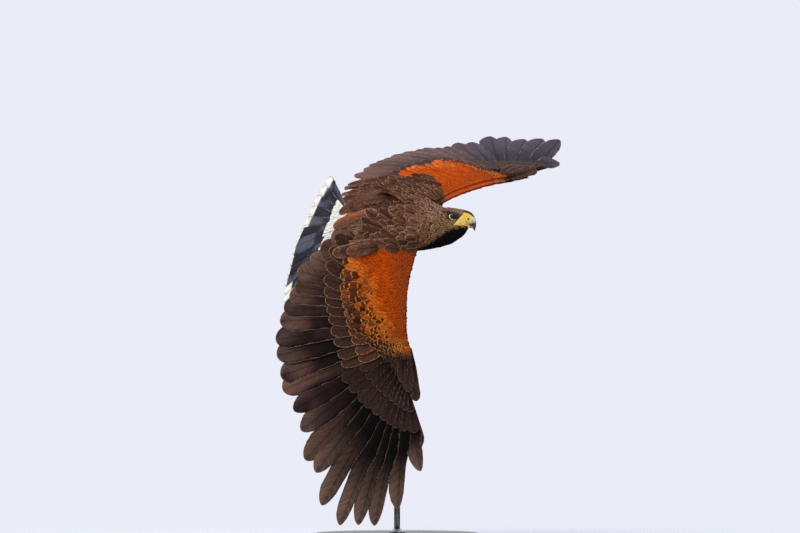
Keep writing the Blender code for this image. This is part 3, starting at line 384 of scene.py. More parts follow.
# bare skin and scales: cells with dark grooves between them
def scaleLook(name, cellScale, groove):
    look, w, shader = newLook(
        name, Roughness=0.42, Specular_IOR_Level=0.25, Subsurface_Weight=0.12, Subsurface_Scale=0.002,
    )
    plume = w.node("ShaderNodeVertexColor", layer_name="plume")
    place = w.node("ShaderNodeTexCoord")
    cells = w.node("ShaderNodeTexVoronoi", feature="DISTANCE_TO_EDGE")
    w.put(cells.inputs["Vector"], place.outputs["Object"])
    cells.inputs["Scale"].default_value = cellScale
    raised = w.ramp(cells.outputs["Distance"], 0.0, 0.22)
    stainAndNotchShade = w.noise(place.outputs["Object"], 260.0, 3.0)
    shade = w.maths(
        "MULTIPLY", w.ramp(raised, 0.0, 1.0, 1.0 - groove, 1.0), w.ramp(stainAndNotchShade, 0.3, 0.7, 0.82, 1.1),
    )
    w.put(shader.inputs["Base Color"], w.blend(1.0, plume.outputs["Color"], w.grey(shade), "MULTIPLY"))
    w.put(shader.inputs["Roughness"], w.ramp(stainAndNotchShade, 0.3, 0.7, 0.36, 0.55))
    addBump(w, shader, raised, 0.5, 0.0004)
    return look


# horn of the bill and claws: its own colours, growth lines and a polish that varies
def hornLook(name, roughness):
    look, w, shader = newLook(name, Roughness=roughness, Coat_Weight=0.25, Coat_Roughness=0.2)
    plume = w.node("ShaderNodeVertexColor", layer_name="plume")
    place = w.node("ShaderNodeTexCoord")
    lines = w.noise(place.outputs["Object"], 420.0, 4.0, 0.6)
    grey = w.grey(w.ramp(lines, 0.3, 0.7, 0.85, 1.12))
    w.put(shader.inputs["Base Color"], w.blend(1.0, plume.outputs["Color"], grey, "MULTIPLY"))
    w.put(shader.inputs["Roughness"], w.ramp(lines, 0.3, 0.7, roughness - 0.06, roughness + 0.12))
    addBump(w, shader, lines, 0.15, 0.0002)
    return look


skinLook = downLook()
bareLook = scaleLook("bareSkin", 520.0, 0.25)
legLook = scaleLook("legScales", 380.0, 0.45)
billLook = hornLook("billHorn", 0.28)
clawLook = hornLook("clawHorn", 0.24)
eyeLook, eyeWires, eyeShader = newLook("eye", Roughness=0.08, Specular_IOR_Level=0.22)
eyeWires.put(
    eyeShader.inputs["Base Color"],
    eyeWires.node("ShaderNodeVertexColor", layer_name="plume").outputs["Color"],
)
print("finishes made")


# A surface kept as a grid of points over two lengths or angles a and b. It is read
# between the grid's points by straight blending, together with its outward normal.
class Surface:
    def __init__(self, points, a0, stepA, b0, stepB, wrap=False, face=1):
        self.points, self.face, self.wrap = points, face, wrap
        self.a0, self.stepA, self.b0, self.stepB = a0, stepA, b0, stepB
        alongA = np.gradient(points, axis=0) / stepA
        if wrap:
            alongB = (np.roll(points, -1, 1) - np.roll(points, 1, 1)) / (2 * stepB)
        else:
            alongB = np.gradient(points, axis=1) / stepB
        self.normals = unit(np.cross(alongB, alongA)) * face
        self.lengths = np.stack((np.linalg.norm(alongA, axis=-1), np.linalg.norm(alongB, axis=-1)), -1)

    # the grid blended between its four nearest points
    def read(self, grid, a, b):
        rows, cols = grid.shape[:2]
        i = np.clip((np.asarray(a, float) - self.a0) / self.stepA, 0, rows - 1.0001)
        j = (np.asarray(b, float) - self.b0) / self.stepB
        j = j % cols if self.wrap else np.clip(j, 0, cols - 1.0001)
        i0, j0 = i.astype(int), j.astype(int)
        j1 = (j0 + 1) % cols if self.wrap else j0 + 1
        s, t = (i - i0)[..., None], (j - j0)[..., None]
        low = grid[i0, j0] * (1 - t) + grid[i0, j1] * t
        high = grid[i0 + 1, j0] * (1 - t) + grid[i0 + 1, j1] * t
        return low * (1 - s) + high * s

    def at(self, a, b, above=0.0):
        normal = unit(self.read(self.normals, a, b))
        return self.read(self.points, a, b) + normal * np.asarray(above, float)[..., None], normal


# the body from the rump to the face, as rings: place ahead, level, half width, rise, depth
body = {
    "torso": (
        (-0.168, -0.0225, 0.0120, 0.0090, 0.0100), (-0.160, -0.0205, 0.0210, 0.0150, 0.0170),
        (-0.140, -0.0160, 0.0310, 0.0230, 0.0260), (-0.115, -0.0110, 0.0400, 0.0310, 0.0350),
        (-0.085, -0.0060, 0.0475, 0.0390, 0.0440), (-0.055, -0.0025, 0.0525, 0.0450, 0.0505),
        (-0.025, -0.0005, 0.0550, 0.0490, 0.0540), (0.002, 0.0000, 0.0550, 0.0500, 0.0540),
        (0.028, 0.0010, 0.0515, 0.0480, 0.0510),
    ),
    "neckSteps": 8,
    "head": (
        (-0.0180, -0.0140, 0.0275, 0.0270, 0.0484), (-0.0120, -0.0120, 0.0262, 0.0268, 0.0478),
        (-0.0060, -0.0100, 0.0248, 0.0240, 0.0467), (0.0000, -0.0090, 0.0232, 0.0228, 0.0450),
        (0.0050, -0.0084, 0.0218, 0.0220, 0.0422), (0.0100, -0.0080, 0.0202, 0.0213, 0.0382),
        (0.0150, -0.0080, 0.0182, 0.0213, 0.0338), (0.0200, -0.0082, 0.0154, 0.0208, 0.0296),
        (0.0245, -0.0085, 0.0124, 0.0190, 0.0232), (0.0280, -0.0090, 0.0100, 0.0172, 0.0164),
        (0.0310, -0.0100, 0.0076, 0.0145, 0.0085),
    ),
    "coat": (0.0036, 0.0024, 0.0011),  # depth of the feathers on torso, neck and face
    "cell": 0.001,
    "around": 144,
}


# The face's relief: a shallow socket round each eye and a brow ridge over it, both in the
# head's own directions, as rounded steps of the distance to a point and to a short line.
face = {
    "eyeAhead": -0.0024, "socket": (0.0070, 0.0120), "socketDeep": 0.0015,
    "brow": ((-0.0110, 0.0068), (0.0130, 0.0060)), "browRise": 0.0022, "browHalf": 0.0032,
}


def lineGap(ahead, above, first, last):
    t = np.clip((ahead - first[0]) / (last[0] - first[0]), 0, 1)
    return np.hypot(ahead - mix(first[0], last[0], t), above - mix(first[1], last[1], t)), t


def faceRelief(points):
    ahead, above, aside = onHead(points)
    side = smooth(np.abs(aside), 0.006, 0.010) * (np.abs(aside) < 0.035)
    gap, t = lineGap(ahead, above, *face["brow"])
    ridge = face["browRise"] * (1 - smooth(gap, 0, face["browHalf"])) * np.sin(math.pi * mix(0.15, 0.9, t))
    hollow = face["socketDeep"] * (1 - smooth(np.hypot(ahead - face["eyeAhead"], above), *face["socket"]))
    return side * (ridge - hollow)


# rings of torso and head, joined by a neck whose centre follows a Hermite curve
def spineRows(plan):
    rows = [(*bodyPoint(ring[0], ring[1], 0.0), *bodyUp, *bodyRight, *ring[2:]) for ring in plan["torso"]]
    chest, skull = plan["torso"][-1], plan["head"][0]
    start, end = bodyPoint(chest[0], chest[1], 0.0), headPoint(skull[0], skull[1], 0.0)
    reach = np.linalg.norm(end - start)
    for t in np.linspace(0, 1, plan["neckSteps"] + 1)[1:-1]:
        centre = (2 * t ** 3 - 3 * t ** 2 + 1) * start + (t ** 3 - 2 * t ** 2 + t) * reach * bodyForward
        centre = centre + (3 * t ** 2 - 2 * t ** 3) * end + (t ** 3 - t ** 2) * reach * headAhead
        sizes = (1 - t) * np.array(chest[2:]) + t * np.array(skull[2:])
        rows.append((*centre, *unit(mix(bodyUp, headTop, t)), *unit(mix(bodyRight, headRight, t)), *sizes))
    rows += [(*headPoint(ring[0], ring[1], 0.0), *headTop, *headRight, *ring[2:]) for ring in plan["head"]]
    return np.array(rows)


# p runs along the spine in metres, q round it from the back over the right side
def bodySurface(plan):
    rows = spineRows(plan)
    fine = spline(rows, np.linspace(0, len(rows) - 1, 30 * len(rows)))
    along = np.concatenate(([0.0], np.cumsum(np.linalg.norm(np.diff(fine[:, :3], axis=0), axis=1))))
    places = np.arange(int(along[-1] / plan["cell"]) + 1) * plan["cell"]
    rings = np.stack([np.interp(places, along, fine[:, k]) for k in range(12)], 1)
    centre, up, right = rings[:, None, :3], unit(rings[:, None, 3:6]), unit(rings[:, None, 6:9])
    q = np.arange(plan["around"]) * 2 * math.pi / plan["around"]
    rise = np.where(np.cos(q) > 0, rings[:, 10:11], rings[:, 11:12]) * np.cos(q)
    points = centre + rise[..., None] * up + (rings[:, 9:10] * np.sin(q))[..., None] * right
    surface = Surface(points, 0.0, plan["cell"], 0.0, 2 * math.pi / plan["around"], wrap=True)
    points = points + surface.normals * faceRelief(points)[..., None]
    surface = Surface(points, 0.0, plan["cell"], 0.0, 2 * math.pi / plan["around"], wrap=True)
    counts = (len(plan["torso"]) - 1, len(plan["torso"]) - 1 + plan["neckSteps"])
    neckAt, headAt = (float(np.interp(n, np.linspace(0, len(rows) - 1, len(fine)), along)) for n in counts)
    return surface, rings, neckAt, headAt


bodyShape, bodyRings, neckAt, headAt = bodySurface(body)
bodyLength = (len(bodyRings) - 1) * body["cell"]
bareFrom = headAt + 0.018  # the feathers end about here, where face and cere meet


# depth of the coat along the spine
def coatDepth(p):
    torso, neck, face = body["coat"]
    depth = mix(torso, neck, smooth(p, neckAt - 0.02, headAt))
    return mix(depth, face, smooth(p, headAt, headAt + 0.02))


# nearest place on the spine and angle round it for any points
def bodyPlace(points):
    centres = bodyRings[::3, :3]
    gap = ((points[:, None] - centres[None]) ** 2).sum(-1)
    row = np.clip(gap.argmin(1) * 3, 0, len(bodyRings) - 1)
    offset = points - bodyRings[row, :3]
    up, right = bodyRings[row, 3:6], bodyRings[row, 6:9]
    return row * body["cell"], np.arctan2((offset * right).sum(1), (offset * up).sum(1))


# faces of one vane: an upper grid and a lower grid that share their rim
def vaneFaces(rows, cols):
    upper = np.arange(rows * cols).reshape(rows, cols)
    lower = upper.copy()
    lower[1:-1, 1:-1] = rows * cols + np.arange((rows - 2) * (cols - 2)).reshape(rows - 2, cols - 2)
    top = np.stack((upper[:-1, :-1], upper[1:, :-1], upper[1:, 1:], upper[:-1, 1:]), -1).reshape(-1, 4)
    under = np.stack((lower[:-1, :-1], lower[:-1, 1:], lower[1:, 1:], lower[1:, :-1]), -1).reshape(-1, 4)
    return np.concatenate((top, under))


# Many vanes at once from their upper grids: the lower side lies a thickness below, nothing
# at the rim. Places, maps and colours come back as flat arrays ready for one mesh.
def closeVanes(upper, normal, thickness, widths, lengths, u, v, marks, bake):
    count, rows, cols = upper.shape[:3]
    bulge = (1 - u[None, :] ** 2) * np.minimum(1, 6 * v * (1 - v) + 0.25)[:, None]
    drop = np.asarray(thickness).reshape(-1, 1, 1, 1) * bulge[None, :, :, None]
    lower = (upper - normal * drop)[:, 1:-1, 1:-1]
    points = np.concatenate((upper.reshape(count, -1, 3), lower.reshape(count, -1, 3)), 1)
    perVane = points.shape[1]
    faces = (vaneFaces(rows, cols)[None] + np.arange(count)[:, None, None] * perVane).reshape(-1, 4)

    def both(grid):
        inner = grid[:, 1:-1, 1:-1].reshape(count, -1, grid.shape[-1])
        return np.concatenate(
            (grid.reshape(count, -1, grid.shape[-1]), inner), 1,
        ).reshape(-1, grid.shape[-1])

    full = np.broadcast_to
    vane = np.stack((full(0.5 + 0.5 * u, (count, rows, cols)), full(v[:, None], (count, rows, cols))), -1)
    span = np.stack((widths, full(v[None, :, None], (count, rows, cols)) * lengths[:, None, None]), -1)
    plume, edging = marks
    return {
        "points": points.reshape(-1, 3),
        "faces": faces,
        "uvs": {"vane": both(vane), "span": both(span), "OFBake": both(bake)},
        "colours": {"plume": both(plume), "edging": both(edging)},
    }


# several sets of vanes in one
def joinVanes(sets):
    joined = {"points": [], "faces": [], "uvs": {}, "colours": {}}
    start = 0
    for part in sets:
        joined["faces"].append(part["faces"] + start)
        start += len(part["points"])
        joined["points"].append(part["points"])
        for group in ("uvs", "colours"):
            for key, value in part[group].items():
                joined[group].setdefault(key, []).append(value)
    for key in ("points", "faces"):
        joined[key] = np.concatenate(joined[key])
    for group in ("uvs", "colours"):
        joined[group] = {key: np.concatenate(value) for key, value in joined[group].items()}
    return joined


def newCoat(name, parts, look, node):
    whole = joinVanes(parts)
    return newPiece(name, whole["points"], whole["faces"], look, whole["uvs"], whole["colours"], node)


# a vane's half width along it, 0..1: it opens from the root and closes round at the tip
def vaneOutline(v, root, tip):
    opening = root + (1 - root) * np.sin(np.clip(v / 0.45, 0, 1) * math.pi / 2)
    t = np.clip((v - 1 + tip) / tip, 0, 1)
    return opening * np.sqrt(np.maximum(1 - t ** 2.2, 0.012))


# Small feathers laid on a surface. Each starts under the surface at its root, follows it
# along its own direction and rises to its tip, so that rows overlap like roof tiles.
# turn is the angle from straight back towards b, in radians.
def drape(
    surface, a, b, turn, length, width, lift, marks, bake, rows=5, cols=4, root=0.35, tip=0.55, bend=0.0,
    sink=0.0006, curve=0.09,
):
    count = len(a)
    v = 1 - (1 - np.linspace(0, 1, rows)) ** 1.25
    u = np.linspace(-1, 1, cols)
    scale = surface.read(surface.lengths, a, b)
    alongA, alongB = -np.cos(turn) / scale[:, 0], np.sin(turn) / scale[:, 1]
    sideA, sideB = surface.face * np.sin(turn) / scale[:, 0], surface.face * np.cos(turn) / scale[:, 1]
    x = v[None, :, None] * length[:, None, None] * np.ones((1, 1, cols))
    half = 0.5 * width[:, None] * vaneOutline(v, root, tip)[None]
    y = u[None, None] * half[:, :, None]
    sway = (
        np.asarray(bend) * np.ones(count)
    )[:, None, None] * (v ** 2)[None, :, None] * length[:, None, None]
    placeA = a[:, None, None] + x * alongA[:, None, None] + (y + sway) * sideA[:, None, None]
    placeB = b[:, None, None] + x * alongB[:, None, None] + (y + sway) * sideB[:, None, None]
    arch = curve * half[:, :, None] * (1 - u ** 2)[None, None]
    above = -sink + (np.asarray(lift) * np.ones(count))[:, None, None] * (v ** 0.8)[None, :, None] + arch
    upper, normal = surface.at(placeA, placeB, above)
    shape = (count, rows, cols)
    plume = np.empty((*shape, 4))
    edging = np.empty((*shape, 4))
    plume[..., :3] = marks[0][:, None, None]
    plume[..., 3] = marks[3][:, None, None]
    edging[..., :3] = marks[1][:, None, None]
    edging[..., 3] = marks[2][:, None, None]
    shade = (0.62 + 0.38 * smooth(v, 0.0, 0.55))[None, :, None, None]
    plume[..., :3] *= shade
    patch = 0.003 * np.stack(
        (np.broadcast_to(0.5 * u, (rows, cols)), np.broadcast_to(v[:, None], (rows, cols)) - 0.5), -1,
    )
    return closeVanes(
        upper, normal, 0.0009 * np.ones(count), y, length, u, v, (plume, edging),
        bake[:, None, None] + patch[None],
    )


print(
    "body surface", round(bodyLength, 4), "m long; neck at", round(neckAt, 3), "head at", round(headAt, 3),
)


# the wings, laid out flat from the shoulder: outwards, then forwards
wing = {
    "elbow": (0.089, -0.0335),
    "wrist": (0.182, 0.002),
    "handTip": (0.271, 0.0145),
    "secondaryLength": (0.2315, 0.226, 0.2217, 0.217, 0.204, 0.194, 0.1816, 0.1697, 0.1666, 0.147),
    "secondaryFan": (66.8, 70.5, 77.8, 82.8, 89.3, 93.8, 98.0, 101.6, 108.2, 117.7),
    "greaterReach": (0.150, 0.122),
    "medianReach": (0.112, 0.084),
    "greaterLength": 0.108,
    "medianLength": 0.068,
    "underLength": 0.105,
    "alulaLengths": (0.098, 0.081, 0.064),
    # the forearm's arch: rise, where it starts in front, length, where outwards it fades
    "camber": 0.016, "camberFront": 0.014, "camberLength": 0.25, "camberFade": (0.15, 0.24),
    "droopFrom": 6,
    "flightWidth": 0.046,
    "greaterWidth": 0.030,
    "underWidth": 0.036,
    "greaterLayer": 0.0037,
    "medianLayer": 0.0066,
    "step": 0.0016,
    # flesh: place outwards, front edge, rear edge, half thickness
    "arm": (
        (-0.020, 0.0420, -0.0800, 0.0140), (0.010, 0.0340, -0.0790, 0.0140),
        (0.035, 0.0260, -0.0770, 0.0130),
        (0.060, 0.0190, -0.0745, 0.0122), (0.090, 0.0145, -0.0710, 0.0112), (0.120, 0.0130, -0.0660, 0.0102),
        (0.150, 0.0130, -0.0590, 0.0092), (0.176, 0.0145, -0.0500, 0.0080), (0.198, 0.0215, -0.0380, 0.0068),
        (0.222, 0.0240, -0.0270, 0.0058), (0.248, 0.0255, -0.0130, 0.0048), (0.272, 0.0240, 0.0020, 0.0036),
    ),
}
rightHold = {
    "name": "right", "shoulder": (0.0053, -0.0560, 0.5455),
    "arm": ((0.0, -0.10, -0.995), (1.0, 0.0, 0.0)), "hand": ((0.0, -0.10, -0.995), (1.0, 0.0, 0.0)),
    # reach from the wrist, degrees back, how far the tip curves up, twist, from the innermost
    "primaries": (
        (0.2305, 57.6, 0.0, 0.0), (0.2415, 48.5, 0.0, 0.0), (0.2750, 39.1, 0.0, 0.0),
        (0.2820, 33.2, 0.004, 0.0),
        (0.3290, 25.8, 0.008, 0.0), (0.3505, 18.4, 0.012, 0.0), (0.3410, 13.1, 0.012, 0.0),
        (0.3370, 8.2, 0.012, 0.0), (0.3030, 1.2, 0.012, 0.0), (0.2370, -8.6, 0.012, 0.0),
    ),
    "secondaries": (1.0, 0.0),
    "inner": ((0.074, -0.0300, 122.0, 0.1330), (0.058, -0.0260, 127.0, 0.1200)),
    "rustFrom": (0.017, 0.024), "darkLater": 0.0, "alulaTilt": 0.05,
    "droop": 0.0, "fingerWide": 1.0, "innerLonger": 0.0,
}
leftHold = {
    "name": "left", "shoulder": (0.0454, -0.0203, 0.6225),
    "arm": ((0.714, 0.667, 0.213), (0.700, -0.675, -0.2325)),
    "hand": ((0.530, 0.828, 0.183), (0.846, -0.498, -0.191)),
    "primaries": (
        (0.2305, 63.3, 0.0, 0.0), (0.2415, 54.6, 0.0, 0.0), (0.2750, 45.5, 0.0, 0.0),
        (0.2820, 39.8, 0.0, 0.0),
        (0.3290, 32.7, 0.001, 0.0), (0.3456, 27.7, -0.002, -0.05), (0.3377, 21.6, -0.001, -0.15),
        (0.3370, 15.7, 0.004, -0.25), (0.3073, 8.0, 0.015, -0.35), (0.2350, 0.0, -0.008, -0.60),
    ),
    "secondaries": (1.035, 3.9),
    "inner": ((0.074, -0.0300, 122.0, 0.1800), (0.058, -0.0260, 120.0, 0.1800)),
    "rustFrom": (0.030, 0.044), "darkLater": 0.030, "alulaTilt": -0.80,
    "droop": math.radians(11.0), "fingerWide": 1.25, "innerLonger": 0.13,
}


# the arch over the flat: a parabola from front to back that fades out past the wrist
def camber(s, c):
    along = np.clip((wing["camberFront"] - c) / wing["camberLength"], 0, 1.1)
    return wing["camber"] * 4 * along * (1 - along) * (1 - smooth(s, *wing["camberFade"]))


# A wing's frame. A flat place (outwards, forwards, above) goes into space by the arm's
# directions, by the hand's, or by a blend of both.
class Layout:
    def __init__(self, hold):
        self.hold = hold
        self.shoulder = np.array(hold["shoulder"])
        self.arm = squareFrame(np.array(hold["arm"][0]), np.array(hold["arm"][1]))
        self.hand = squareFrame(np.array(hold["hand"][0]), np.array(hold["hand"][1]))
        self.turned = 1.0 if self.arm[2] @ bodyUp > 0 else -1.0
        self.armTop, self.handTop = self.arm[2] * self.turned, self.hand[2] * self.turned
        self.wrist = self.shoulder + wing["wrist"][0] * self.arm[0] + wing["wrist"][1] * self.arm[1]

    def place(self, s, c, above, share):
        above = np.asarray(above, float) + camber(np.asarray(s, float), np.asarray(c, float))
        s, c, above, share = (np.asarray(v, float)[..., None] for v in (s, c, above, share))
        byArm = self.shoulder + s * self.arm[0] + c * self.arm[1] + above * self.armTop
        byHand = self.wrist + (s - wing["wrist"][0]) * self.hand[0] + (c - wing["wrist"][1]) * self.hand[1]
        return (1 - share) * byArm + share * (byHand + above * self.handTop)

    def directions(self, share):
        share = np.asarray(share, float)[..., None]
        out, fore, _ = squareFrame(
            mix(self.arm[0], self.hand[0], share), mix(self.arm[1], self.hand[1], share),
        )
        return out, fore, unit(mix(self.armTop, self.handTop, share))

    # the flat place of points in space, by repeated correction
    def flat(self, points):
        away = points - self.shoulder
        s, c, h = away @ self.arm[0], away @ self.arm[1], away @ self.armTop
        for _ in range(6):
            share = handShare(s)
            out, fore, top = self.directions(share)
            rest = points - self.place(s, c, h, share)
            s, c, h = s + (rest * out).sum(-1), c + (rest * fore).sum(-1), h + (rest * top).sum(-1)
        return s, c, h


def handShare(s):
    return smooth(s, 0.150, 0.210)


# half the wing's flesh above the flat at a place outwards and forwards: a wing section
def armHeight(s, c):
    s = np.asarray(s, float)
    lead, trail, half = (
        np.interp(s, [row[0] for row in wing["arm"]], [row[k] for row in wing["arm"]])
        for k in (1, 2, 3)
    )
    along = np.clip((lead - c) / (lead - trail), 0, 1)
    return half * 2.6 * np.sqrt(along) * (1 - along) + 0.0012 * np.minimum(along * 8, 1)


def flatWay(degreesBack):
    angle = np.radians(degreesBack)
    return np.stack((np.cos(angle), -np.sin(angle)), -1)


# One dictionary for each flight feather from the outermost primary inwards: its root, its
# direction, length, how far it is a finger, how far it follows the hand, and its droop.
def flightPlan(hold):
    wrist, elbow, tip = (np.array(wing[key]) for key in ("wrist", "elbow", "handTip"))
    plan = []
    count = len(hold["primaries"])
    for rank in range(count, 0, -1):
        reach, back, lift, twist = hold["primaries"][rank - 1]
        root = wrist + (rank - 0.5) / count * (tip - wrist)
        blade = wrist + reach * flatWay(back) - root
        length = float(np.linalg.norm(blade))
        plan.append({
            "root": root, "way": blade / length, "length": length, "finger": min(max((rank - 3) / 3, 0), 1),
            "share": min(0.45 + 0.2 * rank, 1), "droop": 0.0, "kind": "primary", "rank": rank,
            "lift": lift, "twist": twist,
        })
    count = len(wing["secondaryLength"])
    spread = count + 2 - wing["droopFrom"]
    for rank in range(1, count + 1):
        back = wing["secondaryFan"][rank - 1] * hold["secondaries"][0] + hold["secondaries"][1]
        plan.append({
            "root": wrist + (rank - 0.5) / count * (elbow - wrist), "way": flatWay(back),
            "length": wing["secondaryLength"][rank - 1] * (1 + hold["innerLonger"] * smooth(rank, 5, 9)),
            "finger": 0.0, "share": max(0.45 - 0.15 * rank, 0),
            "droop": hold["droop"] * (max(rank - wing["droopFrom"], 0) / spread) ** 2, "kind": "secondary",
            "rank": rank,
        })
    for rank, (outward, forward, back, length) in enumerate(hold["inner"], count + 1):
        plan.append({
            "root": np.array((outward, forward)), "way": flatWay(back), "length": length, "finger": 0.0,
            "share": 0.0,
            "droop": hold["droop"] * ((rank - wing["droopFrom"]) / spread) ** 2, "kind": "inner",
            "rank": rank,
        })
    return plan


# distance from a feather's shaft to its outer and inner neighbours' at places along it
def shaftGaps(plan, index, distance):
    here = plan[index]["root"] + distance[:, None] * plan[index]["way"]
    gaps = []
    for other in (index - 1, index + 1):
        if 0 <= other < len(plan):
            offset, way = here - plan[other]["root"], plan[other]["way"]
            gaps.append(np.abs(offset[:, 0] * way[1] - offset[:, 1] * way[0]))
        else:
            gaps.append(None)
    return [gaps[1 - k] if gaps[k] is None else gaps[k] for k in (0, 1)]


# width along a feather and where its tip begins to round off
def breadth(kind, v, finger, length, width):
    if kind == "primary":
        cut = 1 - 0.34 * finger
        shape = np.interp(
            v, (0, 0.30, 0.50, 0.66, 0.90, 1.0), (0.30, 0.92, 1.0, cut, 0.94 * cut, 0.84 * cut),
        )
        tip = 1.0 * width / length
    elif kind == "covert":
        shape = np.interp(v, (0, 0.35, 0.7, 1.0), (0.50, 0.96, 1.0, 0.94))
        tip = 0.75 * width / length
    elif kind == "tail":
        shape = np.interp(v, (0, 0.4, 0.9, 1.0), (0.45, 0.88, 1.0, 0.96))
        tip = 0.50 * width / length
    else:
        shape = np.interp(v, (0, 0.30, 0.5, 0.92, 1.0), (0.30, 0.90, 1.0, 0.98, 0.92))
        tip = 0.62 * width / length
    t = np.clip((v - 1 + tip) / tip, 0, 1)
    return shape * np.sqrt(np.maximum(1 - t ** 2.1, 0.010))


vaneColumns = np.array((-1, -0.68, -0.36, -0.09, 0, 0.09, 0.36, 0.68, 1.0))


# One long feather's upper grid. The shaft runs straight from root to tip but bows a little
# to the side, each half vane falls away from it, and its rim is a little ragged.
def bladeGrid(root, along, side, top, v, length, lead, trail, height, tilt, bow, seed, ragged=0.035):
    u = vaneColumns
    turn = 1.0 if np.dot(np.cross(along, side), top) > 0 else -1.0
    rag = 1 + ragged * (noise3(np.stack((v * 37, v * 0 + seed, v * 0), -1), 1.0) - 0.5)[:, None] * 2
    x = np.where(u[None] * turn > 0, lead[:, None], trail[:, None]) * u[None] * turn * rag
    sway = -bow * length * 4 * v * (1 - v)
    across = np.cos(tilt)[:, None, None] * side + np.sin(tilt)[:, None, None] * top
    ridge = 0.0005 * (np.abs(u) < 0.05) * (1 - 0.8 * v[:, None])
    arch = -0.09 * np.abs(x) * np.abs(u[None])
    return (
        root + (v * length)[:, None, None] * along + x[:, :, None] * across
        + sway[:, None, None] * side + (height[:, None] + ridge + arch)[:, :, None] * top
    ), x


# A tier of long feathers over the flight plan: start along the root line, length, heights
# at the root and further out, and a function that colours them.
def featherTier(layout, plan, shapes, kind, width, heights, marks, rows=26, bow=0.0, salt=0):
    v = 1 - (1 - np.linspace(0, 1, rows)) ** 1.5
    grids, tops, spans, lengths, plumes, edgings, bakes = [], [], [], [], [], [], []
    chosen = [i for i, shape in enumerate(shapes) if shape[1] > 0]
    for order, index in enumerate(chosen):
        start, length, turn = shapes[index]
        item = plan[index]
        out, fore, top = layout.directions(item["share"])
        angle = math.radians(turn)
        way = item["way"] @ np.array(
            ((math.cos(angle), -math.sin(angle)), (math.sin(angle), math.cos(angle)))
        )
        flat = way[0] * out + way[1] * fore
        side = -way[1] * out + way[0] * fore
        along = math.cos(item["droop"]) * flat - math.sin(item["droop"]) * top
        top = math.cos(item["droop"]) * top + math.sin(item["droop"]) * flat
        base = layout.place(item["root"][0], item["root"][1], 0.0, item["share"]) + start * along
        ahead, behind = shaftGaps(plan, index, start + v * length)
        finger = item["finger"] if kind == "flight" else 0.0
        wide = width * mix(1, layout.hold["fingerWide"], finger)
        full = wide * breadth(
            "primary" if kind == "flight" and item["kind"] == "primary" else kind, v, finger, length, width,
        )
        lead = np.minimum(full * (0.46 - 0.12 * finger), 0.70 * ahead + 0.001)
        trail = np.minimum(full * (0.54 + 0.10 * finger), 0.95 * behind + 0.001)
        tilt = np.arcsin(np.minimum(wing["step"] / (0.5 * (ahead + behind)), 0.20))
        height = heights[0] + (heights[1] - heights[0]) * np.minimum(v / 0.30, 1)
        spot = item["root"] + (start + v * length)[:, None] * way
        height = height + camber(spot[:, 0], spot[:, 1]) - camber(*item["root"])
        if kind == "flight":
            height = height + item.get("lift", 0.0) * np.maximum(v - 0.5, 0) ** 2 / 0.25
            tilt = tilt + item.get("twist", 0.0) * smooth(v, 0.4, 0.7)
        grid, x = bladeGrid(
            base, along, side, top, v, length, lead, trail, height, tilt, bow, index + salt * 40,
        )
        plume, edging = marks(item, v, np.broadcast_to(vaneColumns, x.shape), index)
        grids.append(grid)
        tops.append(np.broadcast_to(top, grid.shape))
        spans.append(x)
        lengths.append(length)
        plumes.append(plume)
        edgings.append(edging)
        strip = 1.0 / len(chosen)
        bakes.append(np.stack((
            np.broadcast_to((order + 0.5 + 0.45 * vaneColumns) * strip, x.shape),
            np.broadcast_to(0.02 + 0.96 * v[:, None], x.shape),
        ), -1))
    thick = np.full(len(grids), 0.0011)
    return closeVanes(
        np.stack(grids), np.stack(tops), thick, np.stack(spans), np.array(lengths), vaneColumns, v,
        (np.stack(plumes), np.stack(edgings)), np.stack(bakes),
    )


# colours of the plumage as they look in the studio's light, and how far paint is below that
plumage = {
    "mantle": (104, 67, 48), "mantleEdge": (166, 122, 94), "scapular": (84, 56, 45),
    "scapularEdge": (150, 116, 98),
    "crown": (136, 94, 74), "crownEdge": (186, 146, 118), "cheek": (116, 78, 52),
    "cheekEdge": (184, 146, 106),
    # throat and breast, with their edges: dark feathers with painted shade of the underside
    "streak": (58, 36, 30), "throatWithShade": (17, 15, 17), "throatEdgeWithShade": (36, 32, 30), "breastWithShade": (24, 19, 18),
    "breastEdgeWithShade": (52, 39, 32), "rust": (184, 72, 14), "rustDeep": (164, 70, 32), "rustGold": (222, 132, 50),
    "rustLow": (136, 64, 24), "scallop": (74, 44, 31), "scallopEdge": (206, 140, 88),
    "greater": (60, 38, 30),
    "greaterEdge": (172, 130, 104), "secondary": (44, 28, 28), "secondaryEdge": (152, 126, 110),
    "primaryBase": (9, 5, 5),
    "primaryTip": (84, 65, 56), "primaryEdge": (136, 112, 98), "handCovert": (47, 32, 28),
    "handEdge": (116, 88, 74),
    # the far colours in the next lines: the far wing's feathers as lit copies, with painted light from above and a
    # painted bluish sheen of the sky
    "under": (52, 38, 35), "farFlightPaintedLight": (92, 82, 98), "farSecondaryPaintedLight": (126, 96, 86),
    "farGreaterPaintedLight": (88, 60, 52),
    # slate on the next line: a painted bluish sheen on the black tail
    "farEdgePaintedLight": (178, 156, 148), "slate": (92, 92, 108), "tail": (30, 29, 38), "tailEdge": (146, 142, 154),
    "white": (250, 246, 234),
    "rump": (176, 92, 52), "thigh": (122, 54, 28), "thighEdge": (156, 84, 48), "yellow": (232, 180, 74),
    "yellowPale": (236, 208, 136), "underRust": (140, 58, 26), "buff": (176, 144, 96),
}
paint = 0.80
tones = {key: tone(*seen) * paint for key, seen in plumage.items()}


